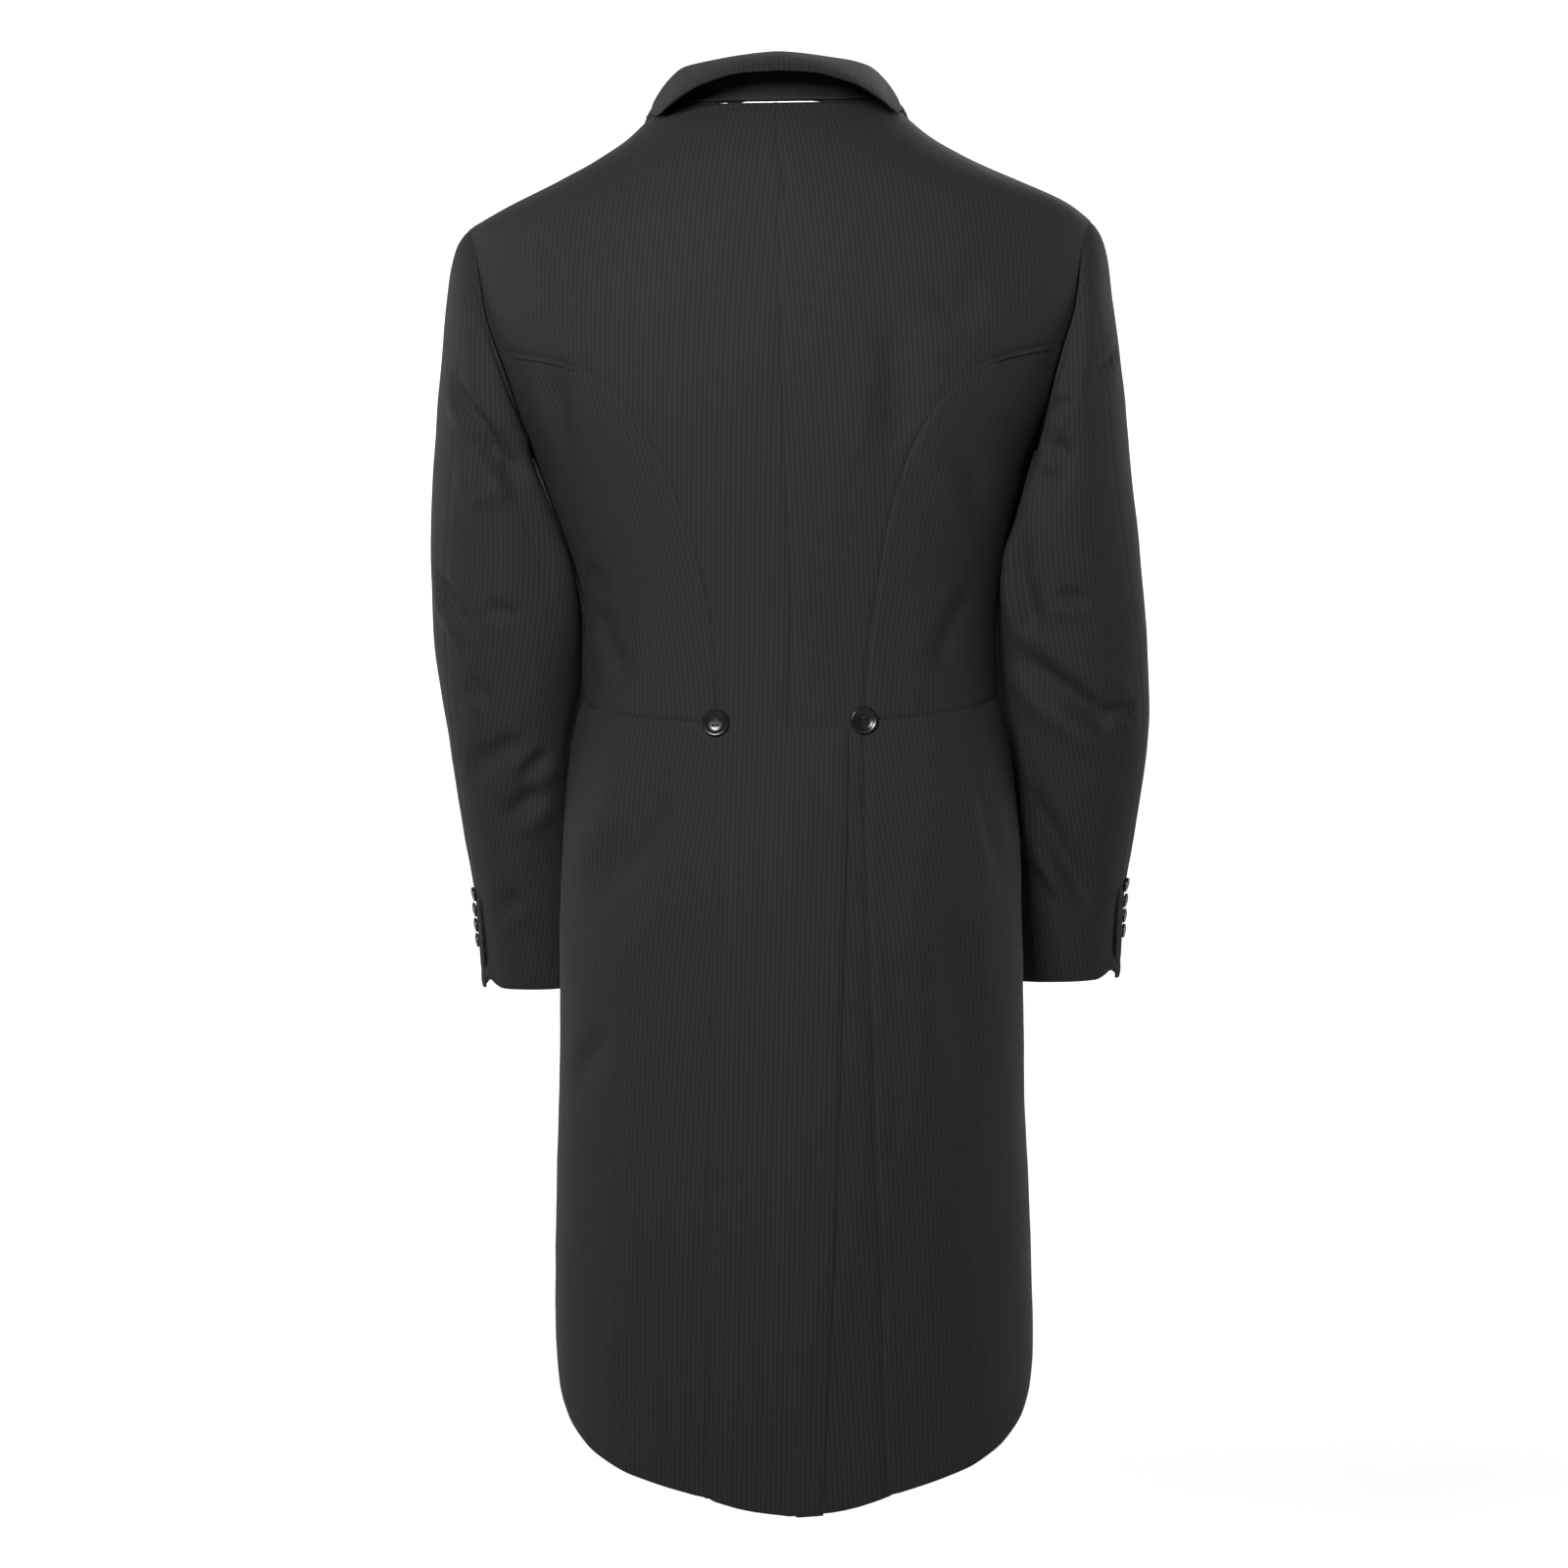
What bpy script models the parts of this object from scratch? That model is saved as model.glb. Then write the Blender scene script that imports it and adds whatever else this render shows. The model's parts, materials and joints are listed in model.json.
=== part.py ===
"""A morning coat, hollow, as it hangs on a wearer.

Every piece of cloth is a thin wall. Its outer face follows worked-out sections of a
filled-out coat, and its edges are the seams that a tailor would sew. Lengths are in
metres. +Z is up, the back of the coat faces +Y and the wearer's left is +X. The
origin is in the middle of the neck opening, where the wearer carries the coat.
"""

import math

import bmesh
import bpy
import numpy as np
from mathutils import Vector

# ---- cloth and sewing
CLOTH = 0.0016
SEAM_GAP = 0.0003
BACK_LAP_LIFT = 0.0022
BACK_LAP_START = 0.0130  # x where the left tail starts to rise over the right one
BACK_LAP_RUN = 0.0115
FRONT_LAP_LIFT = 0.0036
FRONT_LAP_START = 0.042
FRONT_LAP_RUN = 0.020

# ---- buttons
BUTTON_ACROSS = 0.020
CUFF_BUTTON_ACROSS = 0.011
CUFF_BUTTON_PITCH = 0.0114
CUFF_BUTTONS = 4
BUTTON_CLEARANCE = 0.0009
CUFF_BUTTON_CLEARANCE = 0.0004
CUFF_BUTTON_RING = 15.95  # ring of the uppermost cuff button
CUFF_BUTTON_STEP = 3.65
BUTTON_SIDES = 16
CUFF_BUTTON_SIDES = 12

# ---- how finely the pieces are divided, in squares
SHOULDER_ROWS = 6
ARMHOLE_STEPS = 24
SIDE_ROWS = 11
TAIL_ROWS = 13
BACK_COLUMNS = 6
FRONT_COLUMNS = 7
VENT_COLUMNS = 2
SLEEVE_RINGS = 18

# ---- sections of the filled-out body, from the collar to the tails
BODY_COLUMNS = ("z", "half_width", "back_y", "front_y", "side_y", "sway", "power")
BODY_SECTIONS = (
    (0.012, 0.066, 0.060, -0.010, 0.006, -0.0010, 2.00),
    (0.000, 0.080, 0.068, -0.016, 0.008, -0.0010, 2.00),
    (-0.010, 0.0925, 0.075, -0.026, 0.008, -0.0015, 2.00),
    (-0.020, 0.1020, 0.084, -0.036, 0.009, -0.0015, 2.08),
    (-0.030, 0.1120, 0.092, -0.046, 0.010, -0.0015, 2.15),
    (-0.045, 0.1370, 0.1005, -0.057, 0.010, -0.0025, 2.22),
    (-0.060, 0.1670, 0.1075, -0.068, 0.010, -0.0040, 2.12),
    (-0.075, 0.2035, 0.1125, -0.077, 0.010, -0.0080, 2.08),
    (-0.093, 0.232, 0.1175, -0.087, 0.008, -0.0025, 2.02),
    (-0.120, 0.2325, 0.1225, -0.100, 0.005, -0.0020, 2.25),
    (-0.153, 0.2318, 0.1265, -0.113, 0.003, -0.0020, 2.50),
    (-0.190, 0.2204, 0.128, -0.122, 0.000, -0.0020, 2.70),
    (-0.228, 0.2055, 0.126, -0.126, -0.002, -0.0030, 2.60),
    (-0.265, 0.1865, 0.1215, -0.126, -0.004, -0.0035, 2.50),
    (-0.300, 0.1755, 0.1145, -0.123, -0.006, -0.0040, 2.40),
    (-0.335, 0.1645, 0.107, -0.119, -0.007, -0.0055, 2.35),
    (-0.365, 0.1565, 0.100, -0.115, -0.008, -0.0070, 2.30),
    (-0.400, 0.1535, 0.0925, -0.112, -0.008, -0.0065, 2.30),
    (-0.440, 0.1545, 0.0865, -0.110, -0.008, -0.0060, 2.30),
    (-0.464, 0.1625, 0.085, -0.111, -0.007, -0.0045, 2.30),
    (-0.500, 0.167, 0.088, -0.113, -0.005, -0.0045, 2.25),
    (-0.550, 0.1715, 0.097, -0.116, -0.003, -0.0045, 2.20),
    (-0.600, 0.173, 0.105, -0.118, 0.000, -0.0035, 2.20),
    (-0.660, 0.1735, 0.1105, -0.119, 0.000, -0.0030, 2.20),
    (-0.740, 0.174, 0.114, -0.119, 0.002, -0.0020, 2.20),
    (-0.820, 0.177, 0.1155, -0.119, 0.004, -0.0015, 2.20),
    (-0.900, 0.1785, 0.116, -0.119, 0.006, -0.0010, 2.20),
    (-1.060, 0.177, 0.117, -0.119, 0.008, -0.0025, 2.20),
)

# ---- soft folds of the back and the tails, as troughs between two places
BODY_FOLD_COLUMNS = ("from_x", "from_z", "to_x", "to_z", "half_width", "depth")
BODY_FOLDS = (
    (-0.089, -0.150, -0.087, -0.280, 0.018, 0.0030),
    (-0.110, -0.150, -0.160, -0.142, 0.016, 0.0025),
    (0.163, -0.205, 0.160, -0.265, 0.012, 0.0030),
    (0.138, -0.375, 0.128, -0.435, 0.012, 0.0020),
    (0.078, -0.490, 0.147, -0.600, 0.017, 0.0035),
    (0.122, -0.690, 0.155, -0.730, 0.017, 0.0025),
    (-0.140, -0.480, -0.148, -0.555, 0.010, 0.0025),
    (-0.120, -0.620, -0.135, -0.840, 0.022, 0.0025),
)
BODY_FOLD_SIDE = 0.050  # distance behind the side over which the folds set in
FOLD_FADE = 0.15  # share of a fold's length that fades at each end
PLEAT_DEPTH = 0.0024  # how far the skirt tucks under the tail's edge
PLEAT_WIDTH = 0.022
PLEAT_START = 0.050  # distance below the waist over which the tuck sets in

# ---- seams of the left half; the right half is the same, turned over
NECK_SEAM = (  # angle from centre back in degrees, z
    (0, -0.010), (30, -0.009), (60, -0.004), (90, 0.000), (114, -0.008), (130, -0.021),
    (146.3, -0.035),
)
SIDE_BODY_SEAM = (  # z, x of the curved seam from the armhole to the back waist button
    (-0.196, 0.171), (-0.210, 0.138), (-0.240, 0.108), (-0.279, 0.0873),
    (-0.3255, 0.072), (-0.379, 0.061), (-0.428, 0.0550), (-0.464, 0.0540),
)
TAIL_SEAM = (  # z, x of the seam from the back waist button to the hem
    (-0.464, 0.0540), (-0.560, 0.0548), (-0.660, 0.0588), (-0.790, 0.0618), (-0.870, 0.0640),
    (-1.040, 0.0670),
)
WAIST_SEAM = (  # angle in degrees, z
    (0, -0.464), (20, -0.464), (45, -0.458), (90, -0.443), (130, -0.440), (186, -0.448),
)
LOWER_EDGE = (  # angle in degrees, z: the hem of the tail, then the cut-away edge up to the front
    (0, -1.041), (12, -1.036), (23, -1.0265), (35, -1.017), (45, -1.009), (55, -0.997), (63, -0.985),
    (71, -0.970), (78, -0.955), (84, -0.940), (90, -0.922), (100, -0.868), (110, -0.800), (120, -0.730),
    (130, -0.668), (140, -0.612), (150, -0.564), (160, -0.524), (170, -0.492), (180, -0.470),
    (186, -0.462),
)
WAIST_BUTTON_Z = -0.464
VENT_TOP_Z = -0.468
VENT_EDGE = (  # z, x of the free edge of the left tail, lapped over the right tail
    (-0.468, -0.0425), (-0.510, -0.0415), (-0.652, -0.0370), (-0.866, -0.0290), (-1.007, -0.0195),
    (-1.050, -0.0175),
)
ROLL_TOP = (0.072, -0.035)  # x, z where the lapel starts to roll at the neck
ROLL_END = (-0.016, -0.405)  # x, z where it ends at the front edge
FRONT_BUTTON = (0.0, -0.430)  # x, z

# ---- armhole of the left half
ARMHOLE_LEVEL = -0.190
ARMHOLE_RISE = 0.097
ARMHOLE_DROP = 0.075
ARMHOLE_BACK = math.radians(27.4)
ARMHOLE_FRONT = math.radians(30.0)
SIDE_BODY_STEP = 6  # step of the armhole where the side-body seam starts
UNDERARM_STEP = 13  # step where the underarm seam starts
UNDERARM_WAIST = math.radians(100.0)
CENTRE_BACK_DROP = 0.014  # how much lower a row of the back is at its middle than at the armhole
FRONT_EDGE_SHOULDER_Z = -0.130  # levels on the front edge across from the shoulder tip and underarm
FRONT_EDGE_UNDERARM_Z = -0.290

# ---- sleeve rings, from the armhole to the cuff
SLEEVE_COLUMNS = (
    "ring", "outer_z", "outer_left", "outer_right", "inner_z", "inner_x", "mid_y", "half_depth", "pitch",
)
SLEEVE_SECTIONS = (
    (0, -0.093, 0.2300, 0.2335, -0.265, 0.1865, -0.002, 0.0620, 0.0),
    (1, -0.103, 0.2385, 0.2410, -0.262, 0.1945, -0.002, 0.0650, 0.0),
    (2, -0.122, 0.2440, 0.2465, -0.272, 0.1945, -0.003, 0.0680, 0.0),
    (3, -0.150, 0.2475, 0.2495, -0.286, 0.1900, -0.004, 0.0700, 0.0),
    (4.5, -0.203, 0.2535, 0.2570, -0.308, 0.1780, -0.008, 0.0700, 0.0),
    (6, -0.258, 0.2585, 0.2610, -0.332, 0.1660, -0.012, 0.0690, 0.0),
    (9, -0.362, 0.2650, 0.2715, -0.392, 0.1480, -0.027, 0.0620, 0.02),
    (12, -0.460, 0.2550, 0.2770, -0.466, 0.1530, -0.048, 0.0570, 0.04),
    (15, -0.556, 0.2425, 0.2650, -0.558, 0.1560, -0.078, 0.0520, 0.07),
    (16.5, -0.607, 0.2350, 0.2560, -0.608, 0.1545, -0.094, 0.0510, 0.085),
    (18, -0.658, 0.2320, 0.2530, -0.658, 0.1530, -0.110, 0.0500, 0.10),
)
SLEEVE_POWER = 2.15
SLEEVE_CLEARANCE = 0.0016  # between a sleeve and the body it lies against
SLEEVE_SOFTNESS = 0.0015
RING_SPACING = 0.031
CUFF_RING_SPACING = 0.0333
STEP_SPACING = 0.0155
NORMAL_REACH = 0.25  # rings and steps to each side over which the sleeve's slope is read
SLEEVE_FOLD_COLUMNS = ("side", "from_ring", "from_step", "to_ring", "to_step", "half_width", "depth")
SLEEVE_FOLDS = (
    (1, 3.8, 3.0, 4.3, 6.6, 0.012, 0.0030),
    (1, 5.1, 5.2, 5.4, 8.6, 0.015, 0.0060),
    (1, 8.2, 0.5, 10.0, 4.4, 0.013, 0.0035),
    (1, 13.0, 6.0, 12.5, 9.8, 0.012, 0.0030),
    (-1, 4.6, 7.0, 5.2, 9.0, 0.014, 0.0040),
    (-1, 7.4, 12.0, 10.0, 9.2, 0.013, 0.0035),
    (-1, 10.2, 12.5, 12.2, 6.4, 0.014, 0.0045),
    (-1, 13.3, 10.6, 16.7, 6.6, 0.013, 0.0045),
    (1, 9.0, -8.5, 10.6, -4.5, 0.013, 0.0035),
    (-1, 8.6, -8.0, 10.4, -5.0, 0.013, 0.0035),
)
SLEEVE_TWIST = math.radians(40.0)
HEAD_RINGS = 5.0  # rings over which the armhole's own shape fades out
HIND_SEAM = 4  # armhole step where the hind-arm seam starts
FORE_SEAM = 18  # armhole step where the fore-arm seam starts
VENT_RING = 15
CORNER_RINGS = 0.5  # height and width of the rounded corner of the undersleeve's vent
CORNER_COLUMNS = 2
CUFF_VENT_LAP = math.radians(9.0)
CUFF_LIFTS = (0.0, 0.0022, 0.0030, 0.0042)  # lift of the lapped edge, ring by ring below VENT_RING

# ---- collar, by angle from centre back in degrees
STAND = (  # angle, height of the stand, lean towards the neck
    (0, 0.036, 0.003), (45, 0.029, 0.008), (90, 0.021, 0.011), (115, 0.017, 0.007),
    (130, 0.011, 0.004),
    (146.3, 0.005, 0.001),
)
FALL_EDGE = (  # angle, reach of the fall's edge from the neck seam outwards and upwards
    (0, 0.0400, 0.0195), (15, 0.0380, 0.0178), (30, 0.0330, 0.0100), (45, 0.0250, -0.0020),
    (60, 0.0160, -0.0100), (75, 0.0130, -0.0085), (90, 0.0120, -0.0060),
)
FALL_EDGE_FRONT = (  # angle, x and z of the fall's edge where it lies on the front
    (90, 0.0920, -0.0085), (115, 0.1020, -0.0290), (130, 0.1100, -0.0500), (146.3, 0.1100, -0.0720),
)
NECK_REACH = 0.01  # angle to each side over which the neck seam's run is read
COLLAR_CLOTH = 0.0020
FOLD_ROUND = 0.0015
FALL_BULGE = 0.0030
FALL_LIFT = 0.0020
STAND_PROFILE = ((0.4, 0.3), (0.8, 0.8))  # shares of the stand's height and of its lean
FALL_PROFILE = ((0.4, 1.0), (0.7, 0.9))  # shares of the way down the fall and of its bulge

# ---- how far the lapel stands off the front it lies on
LAPEL_ROLL_LIFT = 0.0015
LAPEL_LIFT = 0.0024
LAPEL_LIFT_WIDTH = 0.012  # distance from the roll over which the lift grows

# ---- lapel on the front, as x and z
LAPEL_GORGE = (0.1080, -0.0765)
LAPEL_PEAK = (0.1400, -0.0690)
LAPEL_EDGE = (  # z, x from the peak to the lower end
    (-0.069, 0.1400), (-0.110, 0.1390), (-0.190, 0.1180), (-0.270, 0.0840), (-0.340, 0.0400),
    (-0.400, 0.0020),
)
LAPEL_END_Z = -0.392
LAPEL_END_WIDTH = 0.006
LAPEL_INSET = 0.0020  # gap between the right lapel and the left front's edge
LAPEL_TOP_GAP = 0.0030
LAPEL_ROWS = 11
LAPEL_COLUMNS = 5

SIDES = {1: "left", -1: "right"}
WELD = 1e-5
SHARP_ANGLE = math.radians(40)


class Line:
    """A smooth line through the rows of a table that never overshoots between them."""

    def __init__(self, places, values):
        order = np.argsort(places)
        self.places = np.array(places, float)[order]
        self.values = np.array(values, float)[order]
        slopes = np.diff(self.values) / np.diff(self.places)
        before, after = slopes[:-1], slopes[1:]
        same_way = before * after > 0
        total = np.where(same_way, before + after, 1.0)
        inner = np.where(same_way, 2 * before * after / total, 0.0)
        self.slopes = np.concatenate(([slopes[0]], inner, [slopes[-1]]))

    def __call__(self, place):
        place = min(max(place, self.places[0]), self.places[-1])
        row = min(max(int(np.searchsorted(self.places, place)) - 1, 0), len(self.places) - 2)
        span = self.places[row + 1] - self.places[row]
        t = (place - self.places[row]) / span
        start, end = self.values[row], self.values[row + 1]
        leave, arrive = self.slopes[row] * span, self.slopes[row + 1] * span
        return (
            start * (1 + 2 * t) * (1 - t) ** 2
            + leave * t * (1 - t) ** 2
            + end * t * t * (3 - 2 * t)
            + arrive * t * t * (t - 1)
        )


def lines(columns, rows):
    """One smooth line for each named column, along the first one."""
    table = list(zip(*rows))
    return {name: Line(table[0], values) for name, values in zip(columns[1:], table[1:])}


def soft_step(value):
    value = min(max(value, 0.0), 1.0)
    return value * value * (3 - 2 * value)


def squared(angle, power):
    """Where a ray at this angle meets a squared-off circle: its parts along sine and cosine."""
    across, along = math.sin(angle), math.cos(angle)
    reach = (abs(across) ** power + abs(along) ** power) ** (-1.0 / power)
    return across * reach, along * reach


BODY = lines(BODY_COLUMNS, BODY_SECTIONS)
SLEEVE = lines(SLEEVE_COLUMNS, SLEEVE_SECTIONS)
NECK = Line(*zip(*[(math.radians(a), z) for a, z in NECK_SEAM]))
WAIST = Line(*zip(*[(math.radians(a), z) for a, z in WAIST_SEAM]))
LOWER = Line(*zip(*[(math.radians(a), z) for a, z in LOWER_EDGE]))
SIDE_BODY = Line(*zip(*SIDE_BODY_SEAM))
TAIL = Line(*zip(*TAIL_SEAM))
VENT = Line(*zip(*VENT_EDGE))
LAPEL_OUTER = Line(*zip(*LAPEL_EDGE))
COLLAR_STAND = lines(("angle", "height", "lean"), [(math.radians(a), h, n) for a, h, n in STAND])
COLLAR_EDGE = lines(("angle", "out", "up"), [(math.radians(a), o, u) for a, o, u in FALL_EDGE])
COLLAR_FRONT = lines(("angle", "x", "z"), [(math.radians(a), x, z) for a, x, z in FALL_EDGE_FRONT])


# ---------------------------------------------------------------- the body's surface


def plain_body(angle, z):
    """Point of the filled-out body before its drape is added."""
    sway, power, side_y = BODY["sway"](z), BODY["power"](z), BODY["side_y"](z)
    across, along = squared(angle, power)
    reach = BODY["back_y"](z) - side_y if along > 0 else side_y - BODY["front_y"](z)
    return Vector((sway + BODY["half_width"](z) * across, side_y + reach * along, z))


def body_normal(angle, z):
    step = 1e-3
    around = plain_body(angle + step, z) - plain_body(angle - step, z)
    down = plain_body(angle, z - step) - plain_body(angle, z + step)
    return around.cross(down).normalized()


def trough(x, y, start, end, half_width, depth):
    """Depth at (x, y) of a soft trough along a straight line that fades past its ends."""
    run_x, run_y = end[0] - start[0], end[1] - start[1]
    length = math.hypot(run_x, run_y)
    share = ((x - start[0]) * run_x + (y - start[1]) * run_y) / length**2
    near = min(max(share, FOLD_FADE), 1 - FOLD_FADE)
    away = math.hypot(x - start[0] - near * run_x, y - start[1] - near * run_y)
    return depth * math.exp(-((away / half_width) ** 2))


def back_folds(point):
    """How far the folds of the back and tails draw the cloth in."""
    if point.y < 0:
        return 0.0
    facing = soft_step(point.y / BODY_FOLD_SIDE)
    depths = [trough(point.x, point.z, row[0:2], row[2:4], row[4], row[5]) for row in BODY_FOLDS]
    return facing * sum(depths)


def back_angle(x, z):
    """Angle of a place on the back, x from the coat's own centre line."""
    power = BODY["power"](z)
    share = min(0.9999, abs(x) / BODY["half_width"](z)) ** power
    return math.copysign(math.atan((share / (1 - share)) ** (1 / power)), x)


def front_angle(x, z):
    return math.pi - back_angle(x, z)


# ---------------------------------------------------------------- seams as (angle, z)


def armhole(step):
    """Place on the left armhole: step 0 at the shoulder tip, then down the back."""
    turn = 2 * math.pi * step / ARMHOLE_STEPS
    height = ARMHOLE_RISE if math.cos(turn) > 0 else ARMHOLE_DROP
    spread = ARMHOLE_BACK if math.sin(turn) > 0 else ARMHOLE_FRONT
    return math.pi / 2 - spread * math.sin(turn), ARMHOLE_LEVEL + height * math.cos(turn)


def between(start, end, count):
    return [start + (end - start) * i / count for i in range(count + 1)]


def spaced(places, count):
    """Places the same distance apart along a finely read line of (angle, z)."""
    points = [plain_body(*place) for place in places]
    run = [0.0]
    for a, b in zip(points, points[1:]):
        run.append(run[-1] + (b - a).length)
    marks = between(0.0, run[-1], count)
    angles, levels = zip(*places)
    return [(float(np.interp(m, run, angles)), float(np.interp(m, run, levels))) for m in marks]


def shoulder_seam():
    return [(math.pi / 2, z) for z in between(NECK(math.pi / 2), armhole(0)[1], SHOULDER_ROWS)]


def side_body_seam():
    """From the armhole to the waist button."""
    start = armhole(SIDE_BODY_STEP)
    fine = [start] + [(back_angle(SIDE_BODY(z), z), z) for z in between(-0.196, WAIST_BUTTON_Z, 200)]
    return spaced(fine, SIDE_ROWS)


def underarm_seam():
    start = armhole(UNDERARM_STEP)
    end = (UNDERARM_WAIST, WAIST(UNDERARM_WAIST))
    return list(zip(between(start[0], end[0], SIDE_ROWS), between(start[1], end[1], SIDE_ROWS)))


def tail_levels(foot):
    """Levels of the tail's rows: a narrow first one, where the vent's lap begins."""
    return [WAIST_BUTTON_Z] + between(VENT_TOP_Z, foot, TAIL_ROWS - 1)


def hem_foot(x_line):
    """Level at which a near-vertical line meets the hem."""
    z = LOWER.values.min()
    for _ in range(20):
        z = LOWER(abs(back_angle(x_line(z), z)))
    return z


def tail_seam():
    return [(back_angle(TAIL(z), z), z) for z in tail_levels(hem_foot(TAIL))]


def front_edge_x(z):
    top_x, top_z = ROLL_TOP
    end_x, end_z = ROLL_END
    return top_x + (end_x - top_x) * min(1.0, (z - top_z) / (end_z - top_z))


def front_edge(levels):
    return [(front_angle(front_edge_x(z), z), z) for z in levels]


def waist_seam(start, end, count):
    return [(a, WAIST(a)) for a in between(start, end, count)]


# ---------------------------------------------------------------- nets of points


def patch(top, bottom, left, right):
    """Net of (angle, z) places inside four edges that share their corners."""
    top, bottom, left, right = (np.array(edge) for edge in (top, bottom, left, right))
    down = np.linspace(0, 1, len(left))[:, None, None]
    over = np.linspace(0, 1, len(top))[None, :, None]
    rule_down = (1 - down) * top[None] + down * bottom[None]
    rule_over = (1 - over) * left[:, None] + over * right[:, None]
    corners = (1 - down) * ((1 - over) * top[0] + over * top[-1]) + down * (
        (1 - over) * bottom[0] + over * bottom[-1]
    )
    return rule_down + rule_over - corners


def whole(row, column):
    return True


def cell_test(points, cells):
    rows, columns = len(points) - 1, len(points[0]) - 1

    def has(row, column):
        return 0 <= row < rows and 0 <= column < columns and cells(row, column)

    return has


def part_seams(points, normals, side, cells=whole):
    """Moves each edge half a seam gap into its own piece."""
    has = cell_test(points, cells)
    moved = [[point.copy() for point in row] for row in points]
    last_row, last_column = len(points) - 1, len(points[0]) - 1
    for r, row in enumerate(points):
        for c in range(len(row)):
            up_left, up_right = has(r - 1, c - 1), has(r - 1, c)
            low_left, low_right = has(r, c - 1), has(r, c)
            left, right = up_left or low_left, up_right or low_right
            above, below = up_left or up_right, low_left or low_right
            down = points[min(r + 1, last_row)][c] - points[max(r - 1, 0)][c]
            over = row[min(c + 1, last_column)] - row[max(c - 1, 0)]
            shift = Vector()
            if left != right:
                shift += down.cross(normals[r][c]).normalized() * (1 if right else -1)
            if above != below:
                shift += normals[r][c].cross(over).normalized() * (1 if below else -1)
            moved[r][c] += shift * side * (SEAM_GAP / 2)
    return moved


def surface_normals(points):
    """Normals of a net of points, seen with its rows running down and columns to the left."""
    rows, columns = len(points), len(points[0])
    normals = []
    for r in range(rows):
        normals.append([])
        for c in range(columns):
            above, below = points[max(r - 1, 0)][c], points[min(r + 1, rows - 1)][c]
            before, after = points[r][max(c - 1, 0)], points[r][min(c + 1, columns - 1)]
            normals[r].append((after - before).cross(below - above).normalized())
    return normals


# ---------------------------------------------------------------- making objects


def material(name, colour, roughness):
    made = bpy.data.materials.new(name)
    made.use_nodes = True
    shader = made.node_tree.nodes["Principled BSDF"]
    shader.inputs["Base Color"].default_value = (*colour, 1.0)
    shader.inputs["Roughness"].default_value = roughness
    shader.inputs["Metallic"].default_value = 0.0
    return made


def add_object(name, mesh, finish):
    bmesh.ops.recalc_face_normals(mesh, faces=mesh.faces)
    data = bpy.data.meshes.new(name)
    mesh.to_mesh(data)
    mesh.free()
    data.shade_smooth()
    data.set_sharp_from_angle(angle=SHARP_ANGLE)
    data.materials.append(finish)
    made = bpy.data.objects.new(name, data)
    bpy.context.scene.collection.objects.link(made)
    return made


def wall(name, outer, inner, finish, cells=whole):
    """One closed piece of cloth between two matching nets of points."""
    has = cell_test(outer, cells)
    mesh = bmesh.new()
    made = {}

    def corner(face, r, c):
        if (face, r, c) not in made:
            made[face, r, c] = mesh.verts.new((outer if face else inner)[r][c])
        return made[face, r, c]

    for r in range(len(outer) - 1):
        for c in range(len(outer[0]) - 1):
            if not has(r, c):
                continue
            ring = [(r, c), (r, c + 1), (r + 1, c + 1), (r + 1, c)]
            first = (outer[r][c] - outer[r + 1][c + 1]).length
            second = (outer[r][c + 1] - outer[r + 1][c]).length
            if second < first:
                ring = ring[1:] + ring[:1]
            for a, b, d in ((0, 1, 2), (0, 2, 3)):
                mesh.faces.new([corner(True, *ring[i]) for i in (a, b, d)])
                mesh.faces.new([corner(False, *ring[i]) for i in (d, b, a)])
            rims = (
                (has(r - 1, c), (r, c), (r, c + 1)),
                (has(r + 1, c), (r + 1, c + 1), (r + 1, c)),
                (has(r, c - 1), (r + 1, c), (r, c)),
                (has(r, c + 1), (r, c + 1), (r + 1, c + 1)),
            )
            for joined, a, b in rims:
                if not joined:
                    rim = (True, b), (True, a), (False, a), (False, b)
                    mesh.faces.new([corner(face, *place) for face, place in rim])
    return add_object(name, mesh, finish)


def turned(name, profile, sides, place, normal, finish):
    """A turned piece, such as a button, standing on a surface."""
    mesh = bmesh.new()
    chain = [mesh.verts.new((radius, 0.0, height)) for radius, height in profile]
    edges = [mesh.edges.new(pair) for pair in zip(chain, chain[1:])]
    whole_turn, axis, middle = 2 * math.pi, (0, 0, 1), (0, 0, 0)
    bmesh.ops.spin(mesh, geom=chain + edges, cent=middle, axis=axis, angle=whole_turn, steps=sides)
    bmesh.ops.remove_doubles(mesh, verts=mesh.verts, dist=WELD)
    upright = normal.to_track_quat("Z", "Y").to_matrix().to_4x4()
    bmesh.ops.transform(mesh, matrix=upright, verts=mesh.verts)
    made = add_object(name, mesh, finish)
    made.location = place
    return made


# ---------------------------------------------------------------- sleeves


def sleeve_ring(side, ring, turn):
    """Point of the sleeve's plain tube; turn 0 is outermost, then round by the back."""
    at = {name: line(ring) for name, line in SLEEVE.items()}
    sway = side * BODY["sway"](at["inner_z"])
    outer = Vector((at["outer_" + SIDES[side]], at["mid_y"], at["outer_z"]))
    inner = Vector((at["inner_x"] + sway, at["mid_y"], at["inner_z"]))
    middle, reach = (outer + inner) / 2, (outer - inner) / 2
    depth = Vector((0.0, at["half_depth"], -at["half_depth"] * at["pitch"]))
    back_share, outer_share = squared(turn, SLEEVE_POWER)
    point = middle + reach * outer_share + depth * back_share
    point.x *= side
    return point


def armhole_point(side, step):
    angle, z = armhole(step)
    return plain_body(side * angle, z)


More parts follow.
